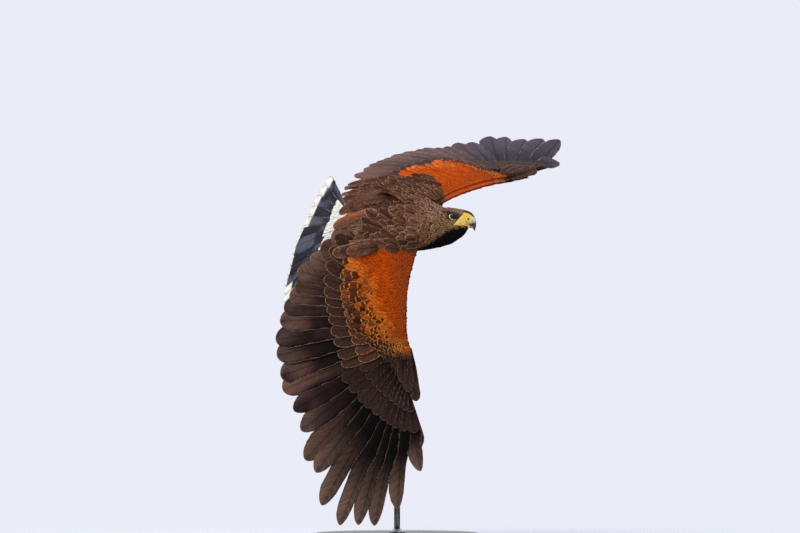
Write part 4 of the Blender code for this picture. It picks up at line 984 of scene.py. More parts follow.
# colours of long wing feathers: darker at the root, paler and barred towards the tip
def flightMarks(hold):
    far = hold["name"] == "left"

    def marks(item, v, u, index):
        shape = u.shape
        jitter = 1 + 0.30 * (rng.random() - 0.5)
        tipShare = smooth(v, 0.40, 1.0)[:, None, None]
        if item["kind"] == "primary":
            outer = smooth(item["rank"], 1, 5)
            reach = mix(tipShare, smooth(v, 0.52, 0.92)[:, None, None], outer)
            colour = mix(tones["primaryBase"], mix(tones["secondary"], tones["primaryTip"], outer), reach)
            edge, bars = mix(tones["secondaryEdge"], tones["primaryEdge"], outer), 0.5 * outer
            farPaintedLightTone = mix(tones["farSecondaryPaintedLight"], tones["farFlightPaintedLight"], smooth(item["rank"], 1, 4))
        else:
            inward = smooth(item["rank"], 4, 9)
            colour = mix(
                tones["primaryBase"] * 1.4, mix(tones["secondary"], tones["scapular"], 0.75 * inward),
                tipShare,
            )
            edge, bars, farPaintedLightTone = tones["secondaryEdge"], 0.10, tones["farSecondaryPaintedLight"]
        if item["kind"] == "inner":
            colour = mix(colour, tones["scapular"], 0.8 * tipShare)
            edge = tones["scapularEdge"]
        # the far wing: brighter and mixed towards its lit tone, painted light and a painted sheen of the sky
        if far:
            colour, edge, bars = mix(colour * 1.3, farPaintedLightTone, 0.30 + 0.55 * tipShare), tones["farEdgePaintedLight"], 0.15
        # paler and browner patches along each vane
        spotted = noise3(
            np.stack(
                np.broadcast_arrays(v[:, None] * 5 + 0 * u, u * 0.8 + 0 * v[:, None], index * 3.7 + 0 * u),
                -1,
            ),
            1.0, 9,
        )
        patches = (smooth(spotted, 0.52, 0.80) * smooth(v, 0.35, 0.75)[:, None])[..., None]
        if not far:
            colour = mix(
                np.broadcast_to(colour, (*shape, 3)), tones["scapular"] * 1.15,
                (0.7 if item["kind"] != "primary" else 0.35) * patches,
            )
            pale = smooth(spotted, 0.30, 0.62) * smooth(v, 0.72, 0.98)[:, None]
            colour = mix(colour, tones["primaryTip"] * 1.5, 0.6 * pale[..., None])
        # the web in front of the shaft is darker than the one behind it: partly the webs' own tones, partly painted
        # shade of the gap to the next feather; both are darker by the shaft
        slope = 0.30 if item["kind"] == "primary" and not far else 0.12
        webTonesAndGapShade = (1 - slope * u + 0.18 * (np.abs(u) - 0.4))[:, :, None]
        plume = np.concatenate(
            (np.broadcast_to(colour * jitter, (*shape, 3)) * webTonesAndGapShade, np.full((*shape, 1), bars)), -1,
        )
        rim = np.full((*shape, 1), 0.80 + 0.15 * rng.random())
        return plume, np.concatenate((np.broadcast_to(edge, (*shape, 3)), rim), -1)

    return marks


# colours of the long coverts, paler fringed on the forearm than on the hand
def covertMarks(hold, tier):
    far = hold["name"] == "left"

    def marks(item, v, u, index):
        shape = u.shape
        jitter = 1 + 0.30 * (rng.random() - 0.5)
        tipShare = smooth(v, 0.2, 0.9)[:, None, None]
        onHand = item["kind"] == "primary"
        # under coverts: the far wing's are made brighter, painted light on their shaded side
        if tier == "under":
            colour, edge, rim = tones["under"] * (
                1.9 if far else 1.0
            ) * np.ones((len(v), 1, 1)), tones["secondaryEdge"], 0.5
        elif tier == "median" and not onHand:
            colour = mix(tones["scallop"] * 0.7, tones["scallop"] * 1.1, tipShare)
            edge, rim = tones["scallopEdge"], 0.90
        elif onHand:
            colour, edge, rim = mix(
                tones["primaryBase"], tones["handCovert"], tipShare,
            ), tones["handEdge"], 0.7
        else:
            colour, edge, rim = mix(
                tones["primaryBase"], tones["greater"], tipShare,
            ), tones["greaterEdge"], 0.84
        # the far wing mixed towards its lit copies: painted light and a painted sheen of the sky
        if far and tier != "under":
            colour = mix(colour, tones["farGreaterPaintedLight"], 0.65)
            edge = mix(edge, tones["farEdgePaintedLight"], 0.4)
        plume = np.concatenate(
            (np.broadcast_to(colour * jitter, (*shape, 3)), np.full((*shape, 1), 0.0)), -1,
        )
        return plume, np.concatenate((np.broadcast_to(edge, (*shape, 3)), np.full((*shape, 1), rim)), -1)

    return marks


# all the long feathers of one wing, above and below
def longFeathers(layout):
    hold = layout.hold
    plan = flightPlan(hold)
    primaries, secondaries = len(hold["primaries"]), len(wing["secondaryLength"])
    inner = len(plan) - primaries - secondaries
    flight = [(0.0, item["length"], 0.0) for item in plan]
    sets = [
        featherTier(
            layout, plan, flight, "flight", wing["flightWidth"], (0.0, 0.0), flightMarks(hold), 28, 0.006,
        )
    ]
    inset = [float(np.linalg.norm(plan[k]["root"] - np.array(wing["wrist"]))) for k in range(primaries)]
    greater, median = [], []
    for k in range(primaries):
        share = k / (primaries - 1)
        greater.append((0.008, mix(*wing["greaterReach"], share) - 0.9 * inset[k], 0.0))
        median.append((0.008, mix(*wing["medianReach"], share) - 0.9 * inset[k], 0.0))
    greater += [(0.008, wing["greaterLength"], 0.0)] * (secondaries + inner)
    median += [(0.016, wing["medianLength"], -3.0)] * (secondaries + inner)
    sets.append(
        featherTier(
            layout, plan, greater, "covert", wing["greaterWidth"], (0.0018, wing["greaterLayer"]),
            covertMarks(hold, "greater"), 16, 0.004, 1,
        )
    )
    sets.append(
        featherTier(
            layout, plan, median, "covert", wing["greaterWidth"] * 0.9, (0.0036, wing["medianLayer"]),
            covertMarks(hold, "median"), 12, 0.004, 2,
        )
    )
    under = [(0.008, wing["underLength"] * (0.95 if k % 2 else 1.0), 0.0) for k in range(len(plan))]
    sets.append(
        featherTier(
            layout, plan, under, "covert", wing["underWidth"], (-0.0018, -0.0037),
            covertMarks(hold, "under"), 12, 0.0, 3,
        )
    )
    return plan, sets


wings = {}
for hold, node in ((rightHold, "wing_right"), (leftHold, "wing_left")):
    layout = Layout(hold)
    plan, sets = longFeathers(layout)
    wings[hold["name"]] = {"layout": layout, "plan": plan, "sets": sets, "node": node}
    newCoat(hold["name"] + "FlightFeathers", sets[:1], flightLook, (node,))
    newCoat(hold["name"] + "LongCoverts", sets[1:], flightLook, (node,))
print("long wing feathers done")


# The wing's outer surface for small feathers: the flesh, or the long coverts that lie on
# it, or the side of the body where that stands higher, read over flat cells and smoothed.
def wingSurface(layout, upper, layer):
    s = np.arange(-0.066, 0.285, 0.003)
    c = np.arange(-0.150, 0.060, 0.003)
    flatS, flatC = np.meshgrid(s, c)
    height = np.maximum((1.0 if upper else 0.8) * armHeight(flatS, flatC), layer)
    sign = 1.0 if upper else -1.0
    bodyS, bodyC, bodyH = layout.flat(bodyShape.points.reshape(-1, 3))
    bodyH = bodyH * sign - 0.0030
    keep = (bodyS > s[0]) & (bodyS < s[-1]) & (bodyC > c[0]) & (bodyC < c[-1]) & (bodyH > 0)
    i = ((bodyC[keep] - c[0]) / 0.003 + 0.5).astype(int).clip(0, len(c) - 1)
    j = ((bodyS[keep] - s[0]) / 0.003 + 0.5).astype(int).clip(0, len(s) - 1)
    np.maximum.at(height, (i, j), bodyH[keep])
    for _ in range(3):
        padded = np.pad(height, 1, mode="edge")
        soft = sum(padded[di:di + len(c), dj:dj + len(s)] for di in range(3) for dj in range(3)) / 9
        height = np.maximum(soft, height - 0.0012)
    points = layout.place(flatS, flatC, sign * height, handShare(flatS))
    return Surface(points, c[0], 0.003, s[0], 0.003, face=int(sign * layout.turned))


# how far back from straight outwards the small coverts point at a place outwards
def covertWay(s, behindEdge):
    way = np.interp(s, (-0.03, 0.094, 0.135, 0.177, 0.200, 0.235, 0.270), (124, 116, 90, 66, 50, 24, 0))
    edgeWay = np.interp(s, (-0.03, 0.10, 0.170, 0.200, 0.27), (112, 98, 84, 45, 4))
    return mix(edgeWay, way, smooth(behindEdge, 0.0, 0.030))


smallCoverts = {
    "edgeSize": 0.50, "backSize": 1.20, "lastSize": 1.80, "row": 0.0056, "across": 0.0070,
    "length": 0.0175, "width": 0.0122, "lift": 0.0019,
}


# roots of the small coverts in rows behind the leading edge, closer and smaller in front
def covertRoots(limits, depth, plan):
    rowAt, row = 0.0, 0
    roots = []
    while rowAt < depth:
        size = mix(plan["edgeSize"], plan["backSize"], smooth(rowAt, 0.004, 0.055))
        size = mix(size, plan["lastSize"], smooth(rowAt, 0.058, 0.085))
        s = np.arange(limits[0], limits[1], plan["across"] * size) + (row % 2) * 0.5 * plan["across"] * size
        s = s + rng.normal(0, 0.12, len(s)) * plan["across"] * size
        behind = rowAt + rng.normal(0, 0.10, len(s)) * plan["row"] * size
        roots.append(np.stack((s, behind, np.full(len(s), size)), 1))
        rowAt += plan["row"] * size
        row += 1
    return np.concatenate(roots)


# Colours of the small coverts by place outwards and forwards: rust over the forearm, then
# dark centres with gold and buff rims behind it and at the wrist, plain brown on the hand
# and under the shoulder feathers.
def covertColours(hold, s, c, upper):
    spot = rng.random((len(s), 4))
    lead = np.interp(s, [row[0] for row in wing["arm"]], [row[1] for row in wing["arm"]])
    far = hold["name"] == "left"
    if not upper:
        rustShare = smooth(s, 0.0, 0.03) * (1 - smooth(s, 0.16, 0.20)) * smooth(c, -0.058, -0.036)
        front = (rustShare * (1 - smooth(lead - c, 0.010, 0.024)))[:, None]
        colour = mix(tones["under"], tones["underRust"], rustShare[:, None])
        # the far wing's underside made brighter and its front close to the top's rust: painted light on the shaded
        # side
        if far:
            colour = colour * 2.2
        colour = mix(
            colour, tones["rust"] * ((2.4, 3.6, 6.0) if far else (1.0, 1.0, 1.0)), front,
        ) * (0.8 + 0.4 * spot[:, :1])
        return colour, mix(
            tones["greaterEdge"], tones["rust"], rustShare[:, None],
        ), 0.5 + 0 * s, 0.3 + 0 * s
    patch = noise3(np.stack((s * 60, c * 60, s * 0), -1), 1.0, 5)
    colour = mix(tones["rust"], tones["rustDeep"], (smooth(c, -0.012, 0.014) * (not far))[:, None])
    colour = mix(colour, tones["rustLow"], 0.6 * smooth(s + 0.02 * (patch - 0.5), 0.140, 0.176)[:, None])
    # where the dark centres begin behind the flat's line, counted at the feathers' roots
    darkFrom = np.interp(
        s, (0.02, 0.055, 0.075, 0.106, 0.144, 0.170, 0.182),
        (0.084, 0.070, 0.050, 0.039, 0.027, 0.014, -0.02),
    )
    darkFrom = darkFrom + hold["darkLater"] * (1 - smooth(s, 0.150, 0.180))
    beyond = -c - darkFrom + 0.014 * (spot[:, 3] - 0.5) + 0.012 * (patch - 0.5)
    gold = smooth(beyond, -0.024, 0.0) * (0.35 + 0.65 * patch)
    colour = mix(colour, tones["rustGold"], 0.55 * gold[:, None])
    colour = colour * (0.74 + 0.46 * spot[:, :1])
    edge = mix(tones["rust"] * 1.25, tones["rustGold"], np.maximum(gold, 0.25 * spot[:, 1])[:, None])
    rim = 0.30 + 0.40 * spot[:, 2]
    # dark centres with golden rims, then brown with buff rims
    dark = smooth(beyond, -0.003, 0.003)
    back = smooth(beyond, 0.014, 0.034)[:, None]
    dark = np.where(spot[:, 2] < 0.34, dark * (0.25 + 0.75 * back[:, 0]), dark)
    centre = mix(mix(tones["rustLow"], tones["scallop"], 0.55), tones["scallop"], back)
    colour = mix(colour, centre * (0.45 + 0.80 * spot[:, :1]), dark[:, None])
    edge = mix(
        edge, mix(tones["rustGold"] * (0.75 + 0.4 * spot[:, 1:2]), tones["scallopEdge"], back),
        dark[:, None],
    )
    rim = mix(rim, mix(1.0, 0.92, back[:, 0]), dark)
    hand = smooth(s + 0.004 * (spot[:, 3] - 0.5), 0.192, 0.204)
    colour = mix(colour, tones["handCovert"] * (0.7 + 0.6 * spot[:, :1]), hand[:, None])
    edge = mix(edge, tones["handEdge"], hand[:, None])
    rim = mix(rim, 0.6, hand)
    # brown where the shoulder feathers begin
    inner = 1 - smooth(s + 0.004 * (spot[:, 3] - 0.5), *hold["rustFrom"])
    colour = mix(colour, tones["mantle"] * (0.7 + 0.5 * spot[:, :1]), inner[:, None])
    edge = mix(edge, tones["mantleEdge"], inner[:, None])
    # the far wing brighter and bluer: painted light from above and a painted sheen of the sky
    if far:
        colour, edge = colour * mix(
            np.array((1.43, 1.50, 3.0)), 1.1, np.maximum(inner, hand)[:, None],
        ), edge * 1.15
    return colour, edge, rim, 0 * s


def smallFeathers(entry, upper):
    layout = entry["layout"]
    surface = wingSurface(layout, upper, 0.0072 if upper else 0.0046)
    plan = dict(smallCoverts)
    if not upper:
        plan.update(edgeSize=0.9, backSize=1.5, lastSize=1.5)
    roots = covertRoots((0.004, 0.262), 0.098 if upper else 0.060, plan)
    s, behind, size = roots.T
    lead = np.interp(s, [row[0] for row in wing["arm"]], [row[1] for row in wing["arm"]])
    limit = np.interp(s, (0.0, 0.09, 0.15, 0.182, 0.215, 0.262), (0.098, 0.092, 0.080, 0.056, 0.032, 0.012))
    keep = behind < limit
    s, behind, size, lead = s[keep], behind[keep], size[keep], lead[keep]
    way = covertWay(s, behind) + rng.normal(0, 5, len(s))
    turn = np.radians(90 - way)
    length = plan["length"] * size * (0.9 + 0.2 * rng.random(len(s)))
    width = plan["width"] * size * (0.9 + 0.2 * rng.random(len(s)))
    marks = covertColours(layout.hold, s, lead - behind, upper)
    bake = np.stack(((s + 0.07) / 0.36, 0.9 - behind / 0.12), -1)
    entry["upper" if upper else "lower"] = surface
    return drape(
        surface, lead - behind - 0.0006, s, turn, length, width, plan["lift"] * (0.5 + 0.8 * size), marks,
        bake, bend=rng.normal(0, 0.05, len(s)),
    )


# shoulder feathers between back and wing: broad, in rows, from the body's side outwards
scapulars = {
    # forwards, innermost, number, length, width
    "rows": (
        (-0.022, -0.050, 12, 0.050, 0.020), (-0.008, -0.053, 12, 0.044, 0.019),
        (0.006, -0.056, 13, 0.036, 0.017), (0.019, -0.056, 14, 0.028, 0.015),
        (0.030, -0.056, 15, 0.022, 0.013),
    ),
    "outermost": {
        "right": (0.016, 0.016, 0.015, 0.015, 0.014), "left": (0.068, 0.060, 0.050, 0.040, 0.032),
    },
    "ways": (104.0, 120.0), "lift": 0.0034,
}


def shoulderFeathers(entry):
    layout, surface = entry["layout"], entry["upper"]
    sets = []
    reaches = scapulars["outermost"][layout.hold["name"]]
    for order, (c, inner, number, length, width) in enumerate(scapulars["rows"]):
        outer = reaches[order]
        number = round(number * (outer - inner) / 0.090) + 1
        t = (np.arange(number) + 0.5 * (order % 2)) / (number - 1)
        s = mix(outer, inner, t) + rng.normal(0, 0.0022, number)
        ahead = c + rng.normal(0, 0.0036, number)
        way = mix(*scapulars["ways"], t) + rng.normal(0, 5, number)
        spot = rng.random((number, 1))
        colour = mix(tones["scapular"], tones["mantle"], 0.8 * order / 4) * (0.66 + 0.6 * spot)
        edge = mix(tones["scapularEdge"], tones["mantleEdge"], spot)
        marks = (colour, edge, 0.88 + 0.12 * spot[:, 0], 0 * t)
        bake = np.stack(((s + 0.07) / 0.36, 0.95 - 0.01 * order + 0 * s), -1)
        sets.append(drape(
            surface, ahead, s, np.radians(90 - way), length * (0.92 + 0.16 * rng.random(number)),
            width * (0.92 + 0.16 * rng.random(number)), scapulars["lift"] + 0.0005 * order, marks, bake,
            rows=12, cols=6, root=0.4, tip=0.52, bend=rng.normal(0, 0.03, number),
        ))
    return sets


# The long shoulder feathers that lie over the back, in tiers from one line of roots: the
# outermost one's root and tip are places on the wing, the innermost one's on the body.
overBack = {
    "right": {
        "root": (0.010, -0.030, 0.010), "inner": (-0.020, 0.0430, 0.012),
        "tip": (0.026, -0.131, 0.012), "innerTip": (-0.180, -0.003, 0.010), "top": (0.0, -0.995, 0.10),
    },
    "left": {
        "root": (0.072, -0.034, 0.006), "inner": (-0.020, 0.0430, -0.020),
        "tip": (-0.022, -0.175, -0.018), "innerTip": (-0.166, 0.008, -0.005), "top": (0.01, -0.40, 0.91),
    },
    # number, share of the whole length, width
    "tiers": ((7, 1.0, 0.025), (8, 0.84, 0.023), (9, 0.68, 0.021), (10, 0.52, 0.019)),
    "layer": 0.0020, "arch": 0.007,
}


def backFeathers(entry):
    layout = entry["layout"]
    plan = overBack[layout.hold["name"]]
    roots = np.stack((layout.place(*plan["root"], 0.0), bodyPoint(*plan["inner"])))
    tips = np.stack((layout.place(*plan["tip"], 0.0), bodyPoint(*plan["innerTip"])))
    tops = np.stack((np.array(plan["top"]), bodyUp))
    v = 1 - (1 - np.linspace(0, 1, 18)) ** 1.4
    total = sum(tier[0] for tier in overBack["tiers"])
    made = []
    for tier, (number, share, width) in enumerate(overBack["tiers"]):
        for k in range(number):
            t = np.clip((k + 0.4 * (tier % 2)) / (number - 0.6) + rng.normal(0, 0.020), 0, 1)
            root, tip = mix(*roots, t), mix(*tips, t)
            long = np.linalg.norm(tip - root)
            along, top, side = squareFrame(tip - root, mix(*tops, t))
            length = long * share * (0.90 + 0.12 * rng.random())
            height = overBack["arch"] * np.sin(
                math.pi * v * length / long
            ) + overBack["layer"] * tier * smooth(v, 0, 0.4)
            half = width * breadth("covert", v, 0, length, width) / 2
            grid, x = bladeGrid(
                root, along, side, top, v, length, half, half, height, 0.10 + 0 * v, 0.003, 200 + len(made),
            )
            colour = mix(tones["scapular"], tones["mantle"], rng.random()) * (0.70 + 0.45 * rng.random())
            shade = (0.6 + 0.4 * smooth(v, 0.1, 0.6))[:, None, None]
            rusty = smooth(t, 0.86, 0.97) * smooth(v, 0.35, 0.65) * (layout.hold["name"] == "right")
            colour = mix(colour, tones["rump"], 0.8 * rusty[:, None, None])
            plume = np.concatenate(
                (np.broadcast_to(colour * shade, (*x.shape, 3)), np.zeros((*x.shape, 1))), -1,
            )
            edging = np.concatenate(
                (
                    np.broadcast_to(tones["scapularEdge"], (*x.shape, 3)),
                    np.full((*x.shape, 1), 0.9 + 0.1 * rng.random()),
                ),
                -1,
            )
            strip = np.stack(
                (
                    np.broadcast_to((len(made) + 0.5 + 0.45 * vaneColumns) / total, x.shape),
                    np.broadcast_to(v[:, None], x.shape),
                ),
                -1,
            )
            made.append(closeVanes(
                grid[None], np.broadcast_to(top, grid.shape)[None], np.array([0.0010]), x[None],
                np.array([length]),
                vaneColumns, v, (plume[None], edging[None]), strip[None],
            ))
    return made


# the thumb's three feathers along the front of the hand
def alula(entry):
    layout = entry["layout"]
    out, fore, top = layout.directions(1.0)
    v = 1 - (1 - np.linspace(0, 1, 16)) ** 1.5
    made = []
    for rank, length in enumerate(wing["alulaLengths"]):
        way = flatWay(5.0 * rank - 8.0)
        along, side = way[0] * out + way[1] * fore, -way[1] * out + way[0] * fore
        base = layout.place(wing["wrist"][0] + 0.010, wing["wrist"][1] + 0.0140 - 0.0045 * rank, 0.0, 1.0)
        full = 0.020 * breadth("covert", v, 0, length, 0.020) / 2
        height = 0.0018 + (0.0056 + 0.0016 * rank) * np.minimum(v / 0.5, 1)
        tilt = layout.hold["alulaTilt"] * smooth(v, 0.0, 0.4)
        grid, x = bladeGrid(base, along, side, top, v, length, full, full, height, tilt, 0.01, 90 + rank)
        item = {"kind": "primary", "rank": 4}
        plume, edging = covertMarks(layout.hold, "greater")(
            item, v, np.broadcast_to(vaneColumns, x.shape), rank,
        )
        plume[..., :3] *= 1.35
        strip = np.stack(
            (
                np.broadcast_to((rank + 0.5 + 0.45 * vaneColumns) / 3, x.shape),
                np.broadcast_to(v[:, None], x.shape),
            ),
            -1,
        )
        made.append(closeVanes(
            grid[None], np.broadcast_to(top, grid.shape)[None], np.array([0.0010]), x[None],
            np.array([length]),
            vaneColumns, v, (plume[None], edging[None]), strip[None],
        ))
    return made


for entry in wings.values():
    name = entry["layout"].hold["name"]
    small = [smallFeathers(entry, True), smallFeathers(entry, False)]
    newCoat(name + "SmallCoverts", small, coatLook, (entry["node"],))
    newCoat(name + "Scapulars", shoulderFeathers(entry), coatLook, (entry["node"],))
    newCoat(name + "BackFeathers", backFeathers(entry), coatLook, (entry["node"],))
    newCoat(name + "Alula", alula(entry), flightLook, (entry["node"],))
print("wing coverts done")


# the tail: a fan of twelve feathers with coverts over and under its root
tail = {
    "axis": (-0.404, 0.911, -0.131), "right": (-0.36, -0.17, -0.92), "base": (-0.160, -0.0205),
    "length": 0.242, "outerShorter": 0.016, "halfFan": math.radians(26.3), "feathers": 12,
    "width": 0.040, "rootHalf": 0.018, "whiteTip": 0.036, "coverts": 21, "upperCovert": 0.098,
    "underCovert": 0.088,
    "covertWidth": 0.016, "layer": 0.0046, "step": 0.0016,
}


def tailMarks(plan, kind, length, across):
    worn = smooth(across, -0.40, 0.10) * (1 - smooth(across, 0.70, 0.85))

    def marks(v, shape):
        distance = length * (1 - v)
        if kind == "long":
            white = 1 - smooth(
                distance / (1 - 0.70 * worn), plan["whiteTip"] - 0.003, plan["whiteTip"] + 0.001,
            )
            base = 1 - smooth(v, 0.16, 0.30)
            # slate patches, mostly on the web behind the shaft: a painted bluish sheen of the sky
            grain = noise3(
                np.stack(np.broadcast_arrays(v[:, None] * 6, vaneColumns * 0.9, across * 23.0), -1), 1.0, 4,
            )
            slate = smooth(grain + 0.10 * vaneColumns, 0.42, 0.74)
            colour = tones["tail"] * (0.7 + 0.9 * rng.random())
            colour = mix(colour, tones["slate"], 0.75 * slate[..., None])
            colour = mix(colour, tones["white"], np.maximum(white, base)[:, None, None])
            edge, rim, bars = tones["tailEdge"], 0.9 * (1 - white), 0.0
        else:
            colour = tones["white"] * (0.86 + 0.12 * rng.random()) * np.ones((len(v), 1, 1))
            edge, rim, bars = tones["white"], 0.2 + 0 * v, 0.0
        plume = np.concatenate((np.broadcast_to(colour, (*shape, 3)), np.full((*shape, 1), bars)), -1)
        edging = np.concatenate((
            np.broadcast_to(edge, (*shape, 3)), np.broadcast_to(rim[:, None, None], (*shape, 1)),
        ), -1)
        return plume, edging

    return marks


def tailFan(plan, number, halfFan, length, width, heights, kind, rows, salt):
    axis, right, _ = squareFrame(np.array(plan["axis"]), np.array(plan["right"]))
    up = np.cross(right, -axis)
    base = bodyPoint(plan["base"][0], plan["base"][1], 0.0)
    v = 1 - (1 - np.linspace(0, 1, rows)) ** 1.6
    face = -1 if heights[1] < 0 else 1
    made = []
    for rank in range(number):
        across = (2 * rank - number + 1) / (number - 1)
        angle = halfFan * across
        along = math.cos(angle) * axis + math.sin(angle) * right
        side = math.cos(angle) * right - math.sin(angle) * axis
        root = base + plan["rootHalf"] * across * right
        reach = length - plan["outerShorter"] * across ** 2 + (
            rng.normal(0, 0.007) if kind != "long" else rng.normal(0, 0.002)
        )
        turn = 0 if abs(across) < 1.2 / (number - 1) else face * math.copysign(1, across)
        lift = face * 0.0012 * (1 + (across > 0)) if turn == 0 else 0.0
        apart = 2 * (plan["rootHalf"] + v * reach * halfFan) / (number - 1)
        half = width * breadth("tail" if kind == "long" else "covert", v, 0, reach, width) / 2
        half = np.minimum(half, 0.95 * apart + 0.002)
        tilt = turn * np.arcsin(np.minimum(plan["step"] / apart, 0.20))
        height = lift + heights[0] + (heights[1] - heights[0]) * np.minimum(v / 0.30, 1)
        grid, x = bladeGrid(
            root, along, side, up, v, reach, half, half, height, tilt, 0.004 * math.copysign(1, across),
            salt + rank,
        )
        plume, edging = tailMarks(plan, kind, reach, across)(v, x.shape)
        strip = np.stack((
            np.broadcast_to((rank + 0.5 + 0.45 * vaneColumns) / number, x.shape),
            np.broadcast_to(v[:, None], x.shape),
        ), -1)
        made.append(closeVanes(
            grid[None], np.broadcast_to(up, grid.shape)[None], np.array([0.0011]), x[None],
            np.array([reach]),
            vaneColumns, v, (plume[None], edging[None]), strip[None],
        ))
    return made


newCoat(
    "tailFeathers",
    tailFan(
        tail, tail["feathers"], tail["halfFan"], tail["length"], tail["width"], (0.0, 0.0), "long", 30, 0,
    ),
    flightLook, ("tail",),
)
tailCoverts = tailFan(
    tail, tail["coverts"], 0.9 * tail["halfFan"], tail["upperCovert"], tail["covertWidth"],
    (0.0018, tail["layer"]), "covert", 14, 30,
)
tailCoverts += tailFan(
    tail, tail["coverts"] - 3, 0.8 * tail["halfFan"], 0.7 * tail["upperCovert"], tail["covertWidth"],
    (0.0040, tail["layer"] + 0.002), "covert", 14, 50,
)
tailCoverts += tailFan(
    tail, tail["coverts"], 0.9 * tail["halfFan"], tail["underCovert"], tail["covertWidth"],
    (-0.0018, -tail["layer"]), "covert", 14, 70,
)
newCoat("tailCoverts", tailCoverts, flightLook, ("tail",))
print("tail done")


# the coat of back, breast, neck and head
coat = {
    "row": 0.0062, "across": 0.0074, "length": 0.0250, "width": 0.0160, "lift": 0.0030,
    "neckSize": 0.60, "headSize": 0.36, "faceSize": 0.25,
}


def coatSize(p):
    size = mix(1.0, coat["neckSize"], smooth(p, neckAt - 0.030, neckAt + 0.035))
    size = mix(size, coat["headSize"], smooth(p, neckAt + 0.03, headAt + 0.006))
    return mix(size, coat["faceSize"], smooth(p, headAt + 0.006, headAt + 0.030))


# colours of the body by place along p and round q; 0 is the middle of the back
def bodyColours(p, q, points):
    count = len(p)
    spot = rng.random((count, 3))
    q = np.abs((q + math.pi) % (2 * math.pi) - math.pi)
    patch = noise3(points, 0.018, 3)
    back = mix(tones["mantle"], tones["scapular"], patch[:, None])
    backEdge = mix(tones["mantleEdge"], tones["scapularEdge"], spot[:, 1:2])
    head = smooth(p, neckAt - 0.01, headAt)[:, None]
    crown = mix(tones["crown"], tones["cheek"], smooth(q, 0.7, 1.4)[:, None])
    crownEdge = mix(tones["crownEdge"], tones["cheekEdge"], smooth(q, 0.7, 1.4)[:, None])
    colour, edge = mix(back, crown, head), mix(backEdge, crownEdge, head)
    ahead, above, aside = onHead(points)
    front = head[:, 0] * smooth(ahead, -0.018, 0.004)
    lowQ, highQ = (
        mix(mix(a, b, head[:, 0]), c, front)
        for a, b, c in ((1.75, 1.95, 1.80), (2.05, 2.20, 1.98))
    )
    under = smooth((q + 0.10 * (spot[:, 2] - 0.5) - lowQ) / (highQ - lowQ), 0, 1)[:, None]
    # breast and throat on the underside: dark brown feathers made near-black with painted shade
    breastWithShade = mix(tones["breastWithShade"], tones["throatWithShade"], head)
    breastEdgeWithShade = mix(tones["breastEdgeWithShade"], tones["throatEdgeWithShade"], head)
    colour, edge = mix(colour, breastWithShade, under), mix(edge, breastEdgeWithShade, under)
    # rusty streak along the rump, white where the tail begins
    streak = (1 - smooth(q, 0.25, 0.55)) * (1 - smooth(p, 0.055, 0.085)) * smooth(p, 0.012, 0.022)
    colour, edge = mix(colour, tones["rump"], 0.8 * streak[:, None]), mix(
        edge, tones["scallopEdge"], 0.6 * streak[:, None],
    )
    white = (1 - smooth(p + 0.004 * (spot[:, 2] - 0.5), 0.014, 0.022))[:, None]
    colour, edge = mix(colour, tones["white"], white), mix(edge, tones["white"], white)
    # mottled head; darker under the brow, a painted shadow of the brow, and in a patch before the eye; buff below
    # the mouth
    colour = mix(
        colour, tones["streak"], (head[:, 0] * (spot[:, 2] > 0.72) * (1 - under[:, 0]))[:, None] * 0.7,
    )
    gap, _ = lineGap(ahead, above, (-0.010, 0.0082), (0.0130, 0.0034))
    browShadowAndEyePatch = 1 - smooth(gap, 0.0008, 0.0022)
    browShadowAndEyePatch = np.maximum(
        browShadowAndEyePatch, 1 - smooth(np.hypot((ahead - 0.0100) / 0.0036, (above - 0.0022) / 0.0042), 0.7, 1.2),
    )
    browShadowAndEyePatch = (browShadowAndEyePatch * (p > headAt - 0.006))[:, None]
    colour, edge = mix(colour, tones["streak"] * 0.45, 0.9 * browShadowAndEyePatch), mix(edge, tones["streak"], 0.9 * browShadowAndEyePatch)
    band = smooth(above, -0.0195, -0.0180) * (
        1 - smooth(above, -0.0160, -0.0145)
    ) * smooth(ahead, -0.010, 0.0)
    band = (band * (1 - smooth(ahead, 0.026, 0.030)) * (p > headAt - 0.006) * (spot[:, 2] < 0.55))[:, None]
    colour, edge = mix(colour, tones["buff"], 0.7 * band), mix(edge, tones["buff"], 0.8 * band)
    thigh = ((1 - smooth(p, 0.05, 0.10)) * smooth(q, 2.0, 2.4))[:, None] * (1 - white)
    colour = mix(colour, tones["thigh"] * 0.7, 0.5 * thigh)
    colour = colour * mix(0.62 + 0.70 * spot[:, :1], 0.60 + 0.76 * spot[:, :1], head)
    rim = mix(0.70 + 0.30 * spot[:, 1], 0.45, under[:, 0])
    return colour, edge, rim, 0.0 * p


# how deep a place lies inside the flesh of a wing, as a mask
def insideWing(points):
    hidden = np.zeros(len(points), bool)
    for entry in wings.values():
        s, c, h = entry["layout"].flat(points)
        lead = np.interp(s, [row[0] for row in wing["arm"]], [row[1] for row in wing["arm"]])
        hidden |= (s > -0.015) & (s < 0.10) & (c < lead) & (c > lead - 0.10) & (
            np.abs(h) < 0.85 * armHeight(s, c)
        )
    return hidden


eyes = {
    "radius": 0.0086, "ahead": face["eyeAhead"], "apart": 0.0153, "look": (0.33, 0.0, 0.944),
    "halfLength": 0.0069, "above": 0.0044, "below": 0.0054,
    "iris": tone(48, 26, 14), "pupil": tone(6, 5, 6), "lid": tone(236, 204, 150),
    "lidDark": tone(44, 32, 26),
}
# rear edge of the bare yellow face: height against place ahead
lore = {
    "above": (-0.0164, -0.0072, -0.0003, 0.0044), "ahead": (0.0005, 0.0069, 0.0116, 0.0158), "top": 0.0055,
    "low": -0.0150,
}


def bareFace(points):
    ahead, above, aside = onHead(points)
    eyeGap = np.hypot((ahead - eyes["ahead"]) / 0.0090, (above + 0.0005) / 0.0070)
    bare = (
        ahead > np.interp(above, lore["above"], lore["ahead"])
    ) & (above < lore["top"]) & (above > lore["low"])
    return (eyeGap < 1) | bare | ((ahead > 0.0295) & (above > lore["low"]))


